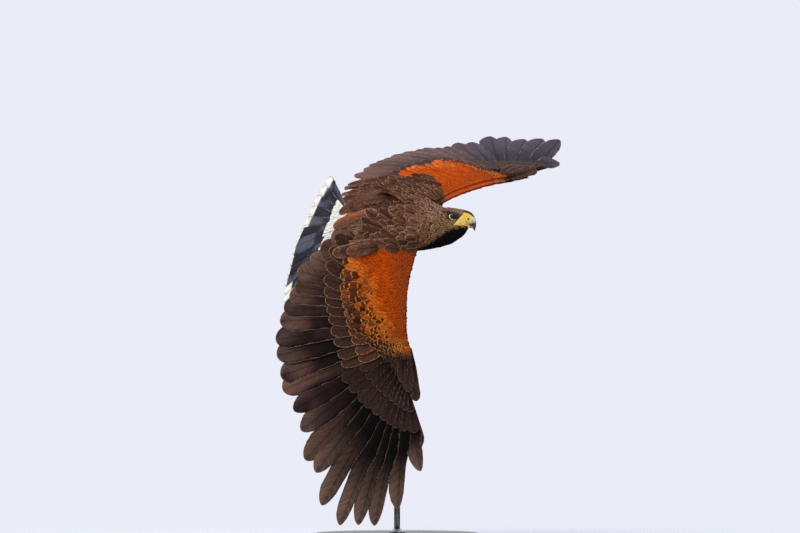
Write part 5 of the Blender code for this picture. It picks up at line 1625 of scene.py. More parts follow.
def bodyCoat():
    p, row = 0.003, 0
    rowsP, rowsQ = [], []
    while p < bodyLength - 0.002:
        size = coatSize(p)
        around = bodyShape.read(
            bodyShape.lengths, np.full(72, p), np.arange(72) * 2 * math.pi / 72,
        )[:, 1].mean() * 2 * math.pi
        number = max(int(around / (coat["across"] * size)), 8)
        q = (np.arange(number) + rng.random() + rng.normal(0, 0.26, number)) / number * 2 * math.pi
        rowsP.append(p + rng.normal(0, 0.42, number) * coat["row"] * size)
        rowsQ.append(q)
        p += coat["row"] * size
        row += 1
    p, q = np.concatenate(rowsP), np.concatenate(rowsQ)
    points, normal = bodyShape.at(p, q)
    keep = ~insideWing(points) & ~bareFace(points)
    p, q, points = p[keep], q[keep], points[keep]
    size = coatSize(p)
    depth = coatDepth(p)
    marks = bodyColours(p, q, points)
    turn = rng.normal(0, 0.10, len(p))
    length = coat["length"] * size * (0.86 + 0.28 * rng.random(len(p)))
    width = coat["width"] * size * (0.88 + 0.24 * rng.random(len(p)))
    bake = np.stack((0.02 + 0.95 * (q % (2 * math.pi)) / (2 * math.pi), 0.02 + 0.94 * p / bodyLength), -1)
    groups = {
        "backCoat": p < neckAt - 0.01, "neckCoat": (p >= neckAt - 0.01) & (p < headAt - 0.004),
        "headCoat": p >= headAt - 0.004,
    }
    nodes = {"backCoat": "torso", "neckCoat": "neck", "headCoat": "head"}
    for name, pick in groups.items():
        rows, cols = (5, 4) if name != "headCoat" else (4, 3)
        lowered = Surface(
            bodyShape.points - bodyShape.normals * coatDepth(
                np.arange(len(bodyRings)) * body["cell"]
            )[:, None, None],
            0.0, body["cell"], 0.0, bodyShape.stepB, wrap=True,
        )
        part = drape(
            lowered, p[pick], q[pick], turn[pick], length[pick], width[pick], depth[pick] * 0.95,
            tuple(mark[pick] for mark in marks), bake[pick], rows=rows, cols=cols,
            bend=rng.normal(0, 0.08, pick.sum()),
        )
        newCoat(name, [part], coatLook, (nodes[name],))


bodyCoat()
print("body coat done")


# the thighs: tubes from hip to ankle under their own feathers
legs = {
    "hip": (-0.088, -0.026, 0.024), "ankle": (-0.150, -0.066, 0.028), "aim": (-0.97, -0.20, -0.10),
    "shank": 0.078,
    "thighRadii": (0.0200, 0.0230, 0.0215, 0.0165, 0.0110, 0.0068),
    "thighPlaces": (0.0, 0.25, 0.5, 0.75, 0.92, 1.0),
    "coat": 0.0020,
}


def legPoints(side):
    ankle = bodyPoint(legs["ankle"][0], legs["ankle"][1], side * legs["ankle"][2])
    aim = unit(legs["aim"][0] * bodyForward + legs["aim"][1] * bodyUp + legs["aim"][2] * bodyRight)
    return ankle, aim, ankle + legs["shank"] * aim


# rings round a path: centre plus radius times two square directions
def tubeGrid(path, radii, sides, reference):
    path = np.asarray(path, float)
    tangent, first, second = squareFrame(np.gradient(path, axis=0), np.broadcast_to(reference, path.shape))
    angle = np.arange(sides) * 2 * math.pi / sides
    radii = np.asarray(radii, float)
    radii = radii[:, None, None] if radii.ndim == 1 else radii[..., None]
    return path[:, None] + radii * (
        np.cos(angle)[None, :, None] * first[:, None] + np.sin(angle)[None, :, None] * second[:, None]
    )


def thighGrid(side, less):
    hip = bodyPoint(legs["hip"][0], legs["hip"][1], side * legs["hip"][2])
    ankle = legPoints(side)[0]
    t = np.linspace(1.0, 0.0, 60)
    radii = spline(np.array(legs["thighRadii"])[:, None], np.interp(t, legs["thighPlaces"], range(6)))[:, 0]
    return tubeGrid(
        hip + t[:, None] * (ankle - hip), radii - less, 48, bodyUp,
    ), float(np.linalg.norm(ankle - hip))


for side, name in ((-1, "left"), (1, "right")):
    grid, long = thighGrid(side, legs["coat"])
    surface = Surface(grid, 0.0, long / 59, 0.0, 2 * math.pi / 48, wrap=True)
    outward = np.sum(surface.normals[30] * (grid[30] - grid[30].mean(0)))
    surface.face = 1 if outward > 0 else -1
    surface.normals = surface.normals * surface.face
    number = 520
    a = long * (np.arange(number) + 0.5) / number
    b = (np.arange(number) * 2.399963) % (2 * math.pi)
    size = mix(0.45, 0.95, smooth(a, 0.0, 0.05))
    spot = rng.random((number, 2))
    marks = (
        tones["thigh"] * (0.7 + 0.5 * spot[:, :1]), tones["thighEdge"] * np.ones((number, 1)),
        0.4 + 0.4 * spot[:, 1], 0 * a,
    )
    bake = np.stack((0.02 + 0.95 * b / (2 * math.pi), 0.02 + 0.9 * a / long), -1)
    part = drape(
        surface, a, b, rng.normal(0, 0.08, number), 0.020 * size, 0.012 * size, legs["coat"] * 0.95, marks,
        bake,
    )
    newCoat(name + "ThighFeathers", [part], coatLook, ("thigh_" + name,))
print("thighs done")


# One skin under all the feathers: body, wings' flesh, thighs and tail root grow together.
skin = {"voxel": 0.0017, "armLess": 0.0014, "smooth": 4}


# rings closed at both ends on their middle points
def closedLoft(rings):
    count, sides = rings.shape[:2]
    points = np.concatenate((rings.reshape(-1, 3), rings[:1].mean(1), rings[-1:].mean(1)))
    faces = gridFaces(count, sides, wrap=True).tolist()
    j = np.arange(sides)
    k = (j + 1) % sides
    first, last = count * sides, count * sides + 1
    faces += np.stack((k, j, np.full(sides, first)), 1).tolist()
    faces += np.stack((j + first - sides, k + first - sides, np.full(sides, last)), 1).tolist()
    return points, faces


def armRings(layout, less):
    along = np.array(
        (
            0.0, 0.03, 0.08, 0.14, 0.24, 0.34, 0.48, 0.62, 0.76, 0.88, 1.0, 0.88, 0.76, 0.62, 0.48, 0.34,
            0.24, 0.14, 0.08, 0.03,
        )
    )
    under = np.arange(len(along)) > 10
    rings = []
    for s, lead, trail, half in wing["arm"]:
        lead, trail = lead - less, trail + less
        swell = half * 2.6 * np.sqrt(along) * (1 - along) + 0.0012 * np.minimum(along * 8, 1)
        above = np.where(under, -0.8, 1.0) * np.maximum(
            swell - less * np.minimum(along * 8, 1) * (along < 1), 0.0001,
        )
        rings.append(
            layout.place(np.full(len(along), s), lead + (trail - lead) * along, above, handShare(s))
        )
    return np.stack(rings)


# skin colours: the coat's own colours, darker, by place on body, wing and thigh
def skinColours(points):
    colour = np.empty((len(points), 4))
    p, q = bodyPlace(points)
    colour[:, :3] = bodyColours(p, q, points)[0] * 0.55
    for entry in wings.values():
        s, c, h = entry["layout"].flat(points)
        share = smooth(s, 0.012, 0.030) * (np.abs(h) < 0.025) * (s < 0.29)
        lead = np.interp(s, [row[0] for row in wing["arm"]], [row[1] for row in wing["arm"]])
        # along the far wing's front the skin is made brighter: painted light
        front = (1 - smooth(lead - c, 0.005, 0.016)) * (entry["layout"].hold["name"] == "left")
        rust = covertColours(entry["layout"].hold, s, c, True)[0] * (0.6 + 0.8 * front)[:, None]
        colour[:, :3] = mix(colour[:, :3], rust, share[:, None])
    ahead, above, aside = onHead(points)
    bare = smooth(ahead - np.interp(above, lore["above"], lore["ahead"]), -0.001, 0.002)
    bare = bare * smooth(above, lore["low"] - 0.0015, lore["low"] + 0.0005) * (
        1 - smooth(above, lore["top"] - 0.001, lore["top"] + 0.001)
    )
    colour[:, :3] = mix(
        colour[:, :3], tones["yellow"], (bare * (ahead < 0.05) * (np.abs(aside) < 0.03))[:, None],
    )
    colour[:, 3] = 1
    return colour


def birdSkin():
    depth = coatDepth(np.arange(len(bodyRings)) * body["cell"])[:, None, None]
    parts = [closedLoft((bodyShape.points - bodyShape.normals * depth)[1::3, ::3])]
    parts += [closedLoft(armRings(entry["layout"], skin["armLess"])) for entry in wings.values()]
    parts += [closedLoft(thighGrid(side, legs["coat"])[0]) for side in (-1, 1)]
    axis, right, _ = squareFrame(np.array(tail["axis"]), np.array(tail["right"]))
    up = np.cross(right, -axis)
    base = bodyPoint(tail["base"][0], tail["base"][1], 0.0)
    angle = np.arange(20) * math.pi / 10
    core = []
    for along, halfWidth, half in (
        (-0.012, 0.0200, 0.0100), (0.006, 0.0230, 0.0090), (0.022, 0.0230, 0.0065), (0.036, 0.0205, 0.0040),
        (0.046, 0.0160, 0.0022),
    ):
        core.append(
            base + along * axis + half * np.cos(angle)[:, None] * up + halfWidth * np.sin(angle)[:, None] * right
        )
    parts.append(closedLoft(np.stack(core)))
    points, faces, start = [], [], 0
    for some, those in parts:
        points.append(some)
        faces += [[index + start for index in face] for face in those]
        start += len(some)
    mesh = bpy.data.meshes.new("flesh")
    mesh.from_pydata(np.concatenate(points).tolist(), [], faces)
    flesh = bpy.data.objects.new("flesh", mesh)
    bpy.context.scene.collection.objects.link(flesh)
    shape = bmesh.new()
    shape.from_mesh(mesh)
    bmesh.ops.recalc_face_normals(shape, faces=shape.faces)
    shape.to_mesh(mesh)
    shape.free()
    remesh = flesh.modifiers.new("oneSkin", "REMESH")
    remesh.mode, remesh.voxel_size = "VOXEL", skin["voxel"]
    soften = flesh.modifiers.new("soften", "SMOOTH")
    soften.iterations, soften.factor = skin["smooth"], 0.5
    whole = flesh.evaluated_get(bpy.context.evaluated_depsgraph_get()).to_mesh()
    co = np.empty(len(whole.vertices) * 3, np.float32)
    whole.vertices.foreach_get("co", co)
    corners = np.empty(len(whole.loops), np.int32)
    whole.loops.foreach_get("vertex_index", corners)
    co, corners = co.reshape(-1, 3), corners.reshape(-1, 4)
    flesh.to_mesh_clear()
    bpy.data.objects.remove(flesh)
    nodes = ("torso", "neck", "head", "wing_left", "wing_right", "tail", "thigh_left", "thigh_right")
    return newPiece(
        "birdSkin", co, corners, skinLook, None, {"plume": skinColours(co.astype(float))},
        nodes,
    )


birdSkin()
print("skin done")


# A closed sheet over a grid of points: it bulges out of the surface and meets it at its rim.
def sheetPatch(grid, outward, rise, sink):
    rows, cols = grid.shape[:2]
    a, b = np.linspace(0, 1, rows)[:, None], np.linspace(0, 1, cols)[None]
    swell = (
        np.minimum(1, 6 * np.minimum(a, 1 - a)) * np.minimum(1, 6 * np.minimum(b, 1 - b))
    )[..., None] ** 0.5
    upper = grid + outward * (rise * swell - sink * (1 - swell))
    lower = (grid - outward * 2 * sink)[1:-1, 1:-1]
    return np.concatenate((upper.reshape(-1, 3), lower.reshape(-1, 3))), vaneFaces(rows, cols)


# turn faces round where their sheet looks inwards
def facing(points, faces, outward):
    a, b, c = (points[faces[:, k]] for k in (0, 1, 2))
    half = len(faces) // 2
    away = np.sum(np.cross(b - a, c - a)[:half] * outward, -1).sum()
    return faces if away > 0 else faces[:, ::-1]


# the face's side at a place ahead and above, from the head's rings
def faceSide(ahead, above, side):
    rings = np.array(body["head"])
    level, half, rise, depth = (np.interp(ahead, rings[:, 0], rings[:, k]) for k in (1, 2, 3, 4))
    t = (above - level) / np.where(above > level, rise, depth)
    return headPoint(ahead, above, side * half * np.sqrt(np.maximum(1 - t ** 2, 0.0)))


# the eyes: a ball with pupil and iris, a wet rim, and lids that close over it
def eyeFrame(side):
    centre = headPoint(eyes["ahead"], 0.0, side * eyes["apart"])
    look = unit(
        eyes["look"][0] * headAhead + eyes["look"][1] * headTop + side * eyes["look"][2] * headRight
    )
    look, rise, along = squareFrame(look, headTop)
    return centre, look, rise, along


def eyeBall(side, name):
    centre, look, rise, along = eyeFrame(side)
    polar = np.linspace(0.02, math.pi - 0.02, 48)
    angle = np.arange(64) * 2 * math.pi / 64
    cornea = eyes["radius"] * (1 + 0.045 * (1 - smooth(polar, 0.30, 0.62)))[:, None, None]
    ring = np.cos(angle)[None, :, None] * rise + np.sin(angle)[None, :, None] * along
    points = centre + cornea * (np.cos(polar)[:, None, None] * look + np.sin(polar)[:, None, None] * ring)
    fibres = noise3(
        np.stack(np.broadcast_arrays(np.cos(angle) * 9, np.sin(angle) * 9, polar[:, None] * 3), -1), 1.0, 8,
    )
    iris = eyes["iris"] * (0.55 + 0.9 * fibres[..., None])
    colour = mix(eyes["pupil"] * np.ones((48, 64, 3)), iris, smooth(polar, 0.46, 0.52)[:, None, None])
    colour = mix(colour, tone(14, 9, 8), smooth(polar, 0.74, 0.86)[:, None, None])
    grid = points.reshape(-1, 3)
    faces = gridFaces(48, 64, wrap=True)
    a, b, c = (grid[faces[:, k]] for k in (0, 1, 2))
    if np.sum(np.cross(b - a, c - a) * (a - centre)) < 0:
        faces = faces[:, ::-1]
    marks = np.concatenate((colour.reshape(-1, 3), np.ones((len(grid), 1))), 1)
    return newPiece(name, grid, faces, eyeLook, None, {"plume": marks}, (name,))


# A lid: a band round the eye's opening whose section is a closed loop. The opening is an
# oval, flatter above, the outer rim a larger oval that sinks into the face.
def lidBand(side):
    centre, look, rise, along = eyeFrame(side)
    angle = np.arange(72) * 2 * math.pi / 72
    up = np.sin(angle)
    openHalf = np.where(up > 0, eyes["above"], eyes["below"])
    # across the band from the opening outwards and back underneath: share outwards, height
    section = np.array((
        (0.0, 0.0001), (0.03, 0.0007), (0.12, 0.0011), (0.30, 0.0013), (0.50, 0.0011),
        (0.65, 0.0005), (0.82, -0.0001), (1.0, -0.0012), (0.6, -0.0016), (0.2, -0.0012),
    ))
    share, lift = section[:, 0][None], section[:, 1][None]
    x = np.cos(angle)[:, None] * mix(eyes["halfLength"], 0.0104, share)
    y = up[:, None] * mix(openHalf[:, None], np.where(up > 0, 0.0060, 0.0084)[:, None], share)
    reach = np.sqrt(np.maximum(eyes["radius"] ** 2 - x ** 2 - y ** 2, 0.0))
    flat = np.hypot(x, y)
    depth = np.where(
        flat < eyes["radius"] * 0.93, reach, eyes["radius"] * 0.3676 - (flat - eyes["radius"] * 0.93) * 1.1,
    )
    points = centre + x[..., None] * along + y[..., None] * rise + (depth + lift)[..., None] * look
    rimShare = smooth(share, 0.02, 0.14) * (1 - smooth(share, 0.34, 0.52)) * np.ones((72, 1))
    rimShare = rimShare * (1 - 0.75 * smooth(np.cos(angle) * np.sign(along @ headAhead), 0.3, 0.8))[:, None]
    upper = smooth(up, 0.15, 0.75)[:, None]
    colour = mix(
        eyes["lidDark"] * np.ones((72, section.shape[0], 3)), eyes["lid"],
        (rimShare * (1 - 0.8 * upper))[..., None],
    )
    grid = points.reshape(-1, 3)
    faces = np.stack(
        [
            np.roll(np.arange(72 * 10).reshape(72, 10), shift, (0, 1))
            for shift in ((0, 0), (-1, 0), (-1, -1), (0, -1))
        ],
        -1,
    ).reshape(-1, 4)
    a, b, c = (grid[faces[:, k]] for k in (0, 1, 2))
    middle = grid.reshape(72, 10, 3).mean(1)
    inner = middle[faces[:, 0] // 10]
    if np.sum(np.cross(b - a, c - a) * (a - inner)) < 0:
        faces = faces[:, ::-1]
    return grid, faces, np.concatenate((colour.reshape(-1, 3), np.ones((len(grid), 1))), 1)


for side, name in ((-1, "left"), (1, "right")):
    eyeBall(side, "eye_" + name)
    grid, faces, colour = lidBand(side)
    newPiece(name + "Lids", grid, faces, bareLook, None, {"plume": colour}, ("head",))


# cere, bill and mouth: rings give a place ahead, the top, the bottom and a half width
bill = {
    "cere": (
        (0.0120, 0.0076, -0.0125, 0.0128), (0.0160, 0.0104, -0.0130, 0.0146),
        (0.0200, 0.0115, -0.0130, 0.0148),
        (0.0250, 0.0107, -0.0130, 0.0127), (0.0300, 0.0089, -0.0130, 0.0100),
        (0.0335, 0.0064, -0.0131, 0.0080), (0.0352, 0.0044, -0.0128, 0.0066),
    ),
    "upper": (
        (0.0335, 0.0052, -0.0128, 0.0070), (0.0352, 0.0046, -0.0131, 0.0070),
        (0.0376, 0.0022, -0.0156, 0.0063), (0.0400, -0.0022, -0.0172, 0.0052),
        (0.0417, -0.0074, -0.0182, 0.0040), (0.0422, -0.0130, -0.0192, 0.0028),
        (0.0418, -0.0184, -0.0212, 0.0017), (0.0408, -0.0240, -0.0245, 0.0004),
    ),
    "back": (0.0, 0.0, 0.0010, 0.0024, 0.0044, 0.0052, 0.0038, 0.0),
    "lower": (
        (0.0120, -0.0137, -0.0176, 0.0112), (0.0160, -0.0137, -0.0184, 0.0110),
        (0.0230, -0.0137, -0.0192, 0.0096),
        (0.0290, -0.0134, -0.0192, 0.0076), (0.0335, -0.0120, -0.0192, 0.0056),
        (0.0364, -0.0122, -0.0196, 0.0044), (0.0386, -0.0140, -0.0190, 0.0020),
    ),
    "nostril": (0.0267, -0.0026), "nostrilSize": (0.0019, 0.0017), "nostrilDeep": 0.0016,
    "spot": (0.0252, -0.0117), "spotSize": 0.0009,
    # top of the yellow: place ahead and height
    "yellowTop": ((0.0096, 0.0158, 0.0234, 0.0303, 0.0352), (0.0010, 0.0066, 0.0074, 0.0042, 0.0004)),
    "hornFrom": (0.0352, -0.0015, 0.60),
    "hornBase": tone(176, 156, 146), "hornMid": tone(104, 100, 110), "hornTip": tone(18, 16, 22),
    "cereTone": tone(240, 196, 76), "cerePale": tone(244, 218, 150),
    "gape": tone(226, 140, 40),
}


# oval rings along the head, each sampled from the splined table
def billRings(table, back, rows, sides):
    at = np.linspace(0, len(table) - 1, rows)
    ahead, top, bottom, half = spline(table, at).T
    lean = spline(np.array(back)[:, None], at)[:, 0] if back is not None else np.zeros(rows)
    angle = np.arange(sides) * 2 * math.pi / sides
    turn = lean[:, None] * (0.5 - 0.5 * np.cos(angle))[None]
    middle, tall = (top + bottom) / 2, (top - bottom) / 2
    above = middle[:, None] + tall[:, None] * np.cos(angle)[None]
    aside = half[:, None] * np.sign(np.sin(angle)) * np.abs(np.sin(angle)) ** 0.85
    return np.broadcast_to(ahead[:, None], above.shape) - turn, above, aside, at / (len(table) - 1)


def ringPiece(name, rings, colour, look, node):
    points = headPoint(*rings)
    count, sides = points.shape[:2]
    grid = points.reshape(-1, 3)
    ends = np.stack((points[0].mean(0), points[-1].mean(0)))
    j = np.arange(sides)
    k = (j + 1) % sides
    first, last = count * sides, count * sides + 1
    # end caps as quads that use two neighbouring rim edges at a time
    even = j[::2]
    capA = np.stack((np.full(len(even), first), even, (even + 1) % sides, (even + 2) % sides), 1)
    capB = np.stack((np.full(len(even), last), (even + 2) % sides, (even + 1) % sides, even), 1)
    capB[:, 1:] += (count - 1) * sides
    faces = np.concatenate((gridFaces(count, sides, wrap=True)[:, ::-1], capA[:, ::-1], capB[:, ::-1]))
    grid = np.concatenate((grid, ends))
    a, b, c = (grid[faces[:-len(capA) * 2, i]] for i in (0, 1, 2))
    centres = np.repeat(points.mean(1), sides, 0)[:len(a)]
    if np.sum(np.cross(b - a, c - a) * (a - centres)) < 0:
        faces = faces[:, ::-1]
    colour = np.concatenate((colour.reshape(-1, 3), colour[0].mean(0)[None], colour[-1].mean(0)[None]))
    marks = np.concatenate((colour, np.ones((len(colour), 1))), 1)
    return newPiece(name, grid, faces, look, None, {"plume": marks}, (node,))


def cerePiece():
    ahead, above, aside, _ = billRings(bill["cere"], None, 90, 96)
    gap = np.hypot(
        (ahead - bill["nostril"][0]) / bill["nostrilSize"][0],
        (above - bill["nostril"][1]) / bill["nostrilSize"][1],
    )
    pit = 1 - smooth(gap, 0.45, 1.25)
    rim = smooth(gap, 0.9, 1.4) * (1 - smooth(gap, 1.4, 2.2))
    swell = np.sign(aside) * (0.0004 * rim - bill["nostrilDeep"] * pit)
    side = np.abs(aside) > 0.002
    # paler towards the front: a painted highlight on the cere's end
    shade = mix(bill["cereTone"], bill["cerePale"], smooth(ahead, 0.026, 0.034)[..., None])
    level = np.interp(ahead, *bill["yellowTop"])
    shade = mix(
        shade, mix(tones["crown"], tones["streak"], smooth(ahead, 0.012, 0.022)[..., None]) * 0.6,
        smooth(above - level, -0.0002, 0.0016)[..., None],
    )
    start, height, slope = bill["hornFrom"]
    horn = smooth(
        ahead - start - (above - height) * slope, -0.0010, 0.0010,
    ) * (1 - smooth(above - level, -0.001, 0.001))
    shade = mix(shade, bill["hornBase"], horn[..., None])
    # a small dark brown spot where the bill's edge has its notch: painted shade in the notch
    stainAndNotchShade = 1 - smooth(
        np.hypot(ahead - bill["spot"][0], above - bill["spot"][1]) / bill["spotSize"], 0.6, 1.3,
    )
    shade = mix(shade, tone(96, 60, 20), (0.95 * stainAndNotchShade * side)[..., None])
    # the nostril painted near-black: painted shade in its pit
    shade = mix(shade, tone(16, 9, 5), (pit * side)[..., None])
    ringPiece("cere", (ahead, above, aside + swell * side), shade, bareLook, "cere")


def billPieces():
    rings = billRings(bill["upper"], bill["back"], 56, 40)
    above = rings[1][..., None]
    # paler towards the top of the upper bill: a painted highlight
    shade = mix(bill["hornBase"], tone(200, 188, 164), smooth(above, -0.0065, -0.0030))
    shade = mix(shade, bill["hornTip"], smooth(above, 0.0006, 0.0030))
    shade = mix(shade, bill["hornTip"], smooth(-above, 0.0072, 0.0098))
    ringPiece("upperBill", rings[:3], shade, billLook, "bill_upper")
    rings = billRings(bill["lower"], None, 40, 36)
    t = rings[3][:, None, None] * np.ones((1, 36, 1))
    shade = mix(bill["cerePale"], bill["hornMid"], smooth(t, 0.45, 0.62))
    shade = mix(
        shade, bill["gape"] * 0.55,
        (1 - smooth(-rings[1], 0.0140, 0.0148))[..., None] * (1 - smooth(t, 0.4, 0.5)),
    )
    shade = mix(
        shade, bill["hornTip"] * 2.0,
        (1 - smooth(-rings[1], 0.0142, 0.0160))[..., None] * smooth(t, 0.5, 0.6),
    )
    low = smooth(-rings[1], 0.0172, 0.0182)[..., None] * (1 - smooth(t, 0.5, 0.7))
    shade = mix(shade, tones["throatWithShade"], low)
    ringPiece("lowerBill", rings[:3], shade, billLook, "bill_lower")


cerePiece()
billPieces()


# a round tube with domed ends, as arrays of points, faces and the place along it
def tubePiece(path, radii, sides, reference=(0.0, 0.0, 1.0)):
    path, radii = np.asarray(path, float), np.asarray(radii, float)
    grid = tubeGrid(path, radii, sides, np.array(reference))
    ends = np.concatenate((path[:1] - (path[1] - path[0]) * 0.2, path[-1:] + (path[-1] - path[-2]) * 0.2))
    j = np.arange(0, sides, 2)
    first, last, top = len(path) * sides, len(path) * sides + 1, (len(path) - 1) * sides
    capA = np.stack((np.full(len(j), first), (j + 2) % sides, (j + 1) % sides, j), 1)
    capB = np.stack((np.full(len(j), last), top + j, top + (j + 1) % sides, top + (j + 2) % sides), 1)
    faces = np.concatenate((gridFaces(len(path), sides, wrap=True), capA, capB))
    points = np.concatenate((grid.reshape(-1, 3), ends))
    a, b, c = (points[faces[:len(path) * sides - sides, i]] for i in (0, 1, 2))
    centres = np.repeat(path, sides, 0)[:len(a)]
    if np.sum(np.cross(b - a, c - a) * (a - centres)) < 0:
        faces = faces[:, ::-1]
    along = np.concatenate((np.repeat(np.linspace(0, 1, len(path)), sides), (0.0, 1.0)))
    return points, faces, along


def joinParts(parts):
    points, faces, extra, start = [], [], [], 0
    for some, those, along in parts:
        points.append(some)
        faces.append(those + start)
        extra.append(along)
        start += len(some)
    return np.concatenate(points), np.concatenate(faces), np.concatenate(extra)


# bare yellow skin between eye and cere on both sides, the corner of the mouth under it
def barePatches():
    for side, name in ((-1, "left"), (1, "right")):
        a, b = np.linspace(0, 1, 30)[:, None], np.linspace(0, 1, 22)[None]
        ahead = mix(0.0016, 0.0240, a) + 0 * b
        low = mix(-0.0156, -0.0146, a)
        high = np.interp(
            ahead, (0.0016, 0.0069, 0.0116, 0.0158, 0.0240), (-0.0146, -0.0072, -0.0003, 0.0046, 0.0056),
        )
        above = mix(low, high, b)
        grid = faceSide(ahead, above, side)
        outward = unit(0.25 * headAhead + side * headRight) * np.ones(grid.shape)
        points, faces = sheetPatch(grid, outward, 0.0008, 0.0008)
        faces = facing(points, faces, outward[0, 0])
        fold = noise3(points, 0.0025, 4)[:, None]
        colour = mix(bill["cereTone"], bill["cerePale"], 0.5 * fold) * (0.80 + 0.25 * fold)
        newPiece(
            name + "Lore", points, faces, bareLook, None,
            {"plume": np.concatenate((colour, np.ones((len(colour), 1))), 1)}, ("head",),
        )
        t = np.linspace(0, 1, 40)
        ahead = mix(0.0022, 0.0300, t)
        above = -0.0138 - 0.0012 * np.sin(math.pi * t)
        half = np.interp(ahead, [ring[0] for ring in bill["cere"]], [ring[3] for ring in bill["cere"]])
        skull = faceSide(ahead, above, side)
        wide = headPoint(ahead, above, side * 0.90 * half)
        path = mix(skull, wide, smooth(ahead, 0.011, 0.020)[:, None])
        points, faces, along = tubePiece(
            path, 0.0007 * np.sin(math.pi * mix(0.08, 0.96, t)) ** 0.5 + 0.0002, 12,
        )
        colour = mix(bill["gape"], bill["cerePale"], 0.3) * np.ones((len(points), 1))
        newPiece(
            name + "Gape", points, faces, bareLook, None,
            {"plume": np.concatenate((colour, np.ones((len(colour), 1))), 1)}, ("head",),
        )


barePatches()
print("head done")


# legs: scaled shanks, toes with pads, and claws; a toe has a spread, a length and a claw
foot = {
    "toes": {
        "inner": (-24, 0.028, 0.0150), "middle": (0, 0.043, 0.0140), "outer": (24, 0.032, 0.0120),
        "hind": (180, 0.022, 0.0190),
    },
    "radius": 0.0036, "skinTone": tone(232, 186, 62), "groove": tone(176, 128, 44),
}


def toePath(side, spread, length):
    _, aim, end = legPoints(side)
    sole = unit(-bodyUp - aim * np.dot(-bodyUp, aim))
    across = np.cross(aim, sole) * side
    turn = math.radians(spread)
    forward, curl = math.cos(turn) * aim + math.sin(turn) * across, sole
    if spread == 180:
        forward, curl = unit(-0.35 * aim + 0.94 * sole), aim
    t = np.linspace(0, 1, 30)[:, None]
    path = end + 0.0068 * aim + length * (
        np.sin(t * 1.1) / 1.1 * forward + (1 - np.cos(t * 1.1)) / 1.1 * curl
    )
    return path, curl


def legPieces(side, name):
    ankle, aim, end = legPoints(side)
    t = np.linspace(0, 1, 70)
    ridges = 1 + 0.035 * np.abs(np.sin(t * math.pi * 17))
    radii = np.interp(t, (0, 0.14, 0.5, 0.9, 1), (0.0050, 0.0046, 0.0040, 0.0046, 0.0050)) * ridges
    path = ankle + mix(-0.06, 1.0, t)[:, None] * legs["shank"] * aim
    points, faces, along = tubePiece(path, radii, 24, bodyUp)

    def skinMarks(along, rings):
        line = smooth(np.abs(np.sin(along * math.pi * rings)), 0.0, 0.35)[:, None]
        colour = mix(foot["groove"], foot["skinTone"], line)
        return np.concatenate((colour, np.ones((len(colour), 1))), 1)

    newPiece(
        name + "Shank", points, faces, legLook, None, {"plume": skinMarks(along, 17)},
        ("shank_" + name,),
    )
    parts = [
        tubePiece(
            end + np.linspace(0.0003, 0.0125, 14)[:, None] * aim,
            0.0068 * np.sqrt(np.sin(np.linspace(0.6, 2.9, 14))), 24, bodyUp,
        )
    ]
    for toe, (spread, length, claw) in foot["toes"].items():
        path, curl = toePath(side, spread, length)
        t = np.linspace(0, 1, 30)
        pads = 1 + 0.10 * np.abs(np.sin(t * math.pi * round(length / 0.0105)))
        parts.append(
            tubePiece(
                path,
                foot["radius"] * np.interp(
                    t, (0, 0.25, 0.5, 0.75, 1), (1.05, 1.0, 0.92, 0.86, 0.66),
                ) * pads,
                20, bodyUp,
            )
        )
        ahead = unit(path[-1] - path[-2])
        curl = unit(curl - ahead * np.dot(curl, ahead))
        bend = 1.3 * np.linspace(0, 1, 24)[:, None]
        talon = path[-1] - 0.0012 * ahead + (claw + 0.0012) * (
            np.sin(bend) / 1.3 * ahead + (1 - np.cos(bend)) / 1.3 * curl
        )
        radius = np.interp(np.linspace(0, 1, 24), (0, 0.35, 0.7, 1), (0.0024, 0.0020, 0.0012, 0.0003))
        points, faces, along = tubePiece(talon, radius, 16, bodyUp)
        shade = mix(tone(58, 54, 58), tone(14, 12, 15), smooth(along, 0.0, 0.4)[:, None])
        newPiece(
            name + toe.capitalize() + "Claw", points, faces, clawLook, None,
            {"plume": np.concatenate((shade, np.ones((len(shade), 1))), 1)}, ("claw_" + name + "_" + toe,),
        )
    points, faces, along = joinParts(parts)
    newPiece(
        name + "Foot", points, faces, legLook, None, {"plume": skinMarks(along, 9)},
        ("foot_" + name,),
    )


for side, name in ((-1, "left"), (1, "right")):
    legPieces(side, name)
print("legs done")


# the stand: turned base, collar and rod, as outlines of radius and height
stand = {
    "base": (
        (0.0, 0.0), (0.150, 0.0), (0.1535, 0.0004), (0.155, 0.0020), (0.155, 0.0085), (0.1545, 0.0105),
        (0.1520, 0.0118), (0.1508, 0.0132),
        (0.1500, 0.0155), (0.1482, 0.0170), (0.1450, 0.0179), (0.140, 0.0180), (0.020, 0.0180),
        (0.0, 0.0180),
    ),
    "collar": (
        (0.0058, 0.0183), (0.0146, 0.0183), (0.0150, 0.0188), (0.0150, 0.0208), (0.0140, 0.0218),
        (0.0098, 0.0226), (0.0082, 0.0240), (0.0078, 0.0246), (0.0058, 0.0247),
    ),
    "rod": ((0.0, 0.0183), (0.0055, 0.0183), (0.0055, 0.5590), (0.0050, 0.5598), (0.0, 0.5600)),
}


# a profile turned round the upright axis; a profile that starts off the axis is a ring
def turned(name, outline, sides, look, node, ring=False):
    outline = np.array(outline)
    angle = np.arange(sides) * 2 * math.pi / sides
    radius = np.maximum(outline[:, 0], 0.00002)
    points = np.stack(
        (
            radius[:, None] * np.cos(angle), radius[:, None] * np.sin(angle),
            outline[:, 1][:, None] + 0 * angle,
        ),
        -1,
    )
    rows = len(outline)
    faces = gridFaces(rows, sides, wrap=True)
    if ring:
        j = np.arange(sides)
        k = (j + 1) % sides
        faces = np.concatenate(
            (faces, np.stack((j + (rows - 1) * sides, k + (rows - 1) * sides, k, j), -1))
        )
    return newPiece(name, points.reshape(-1, 3), faces, look, None, None, (node,))


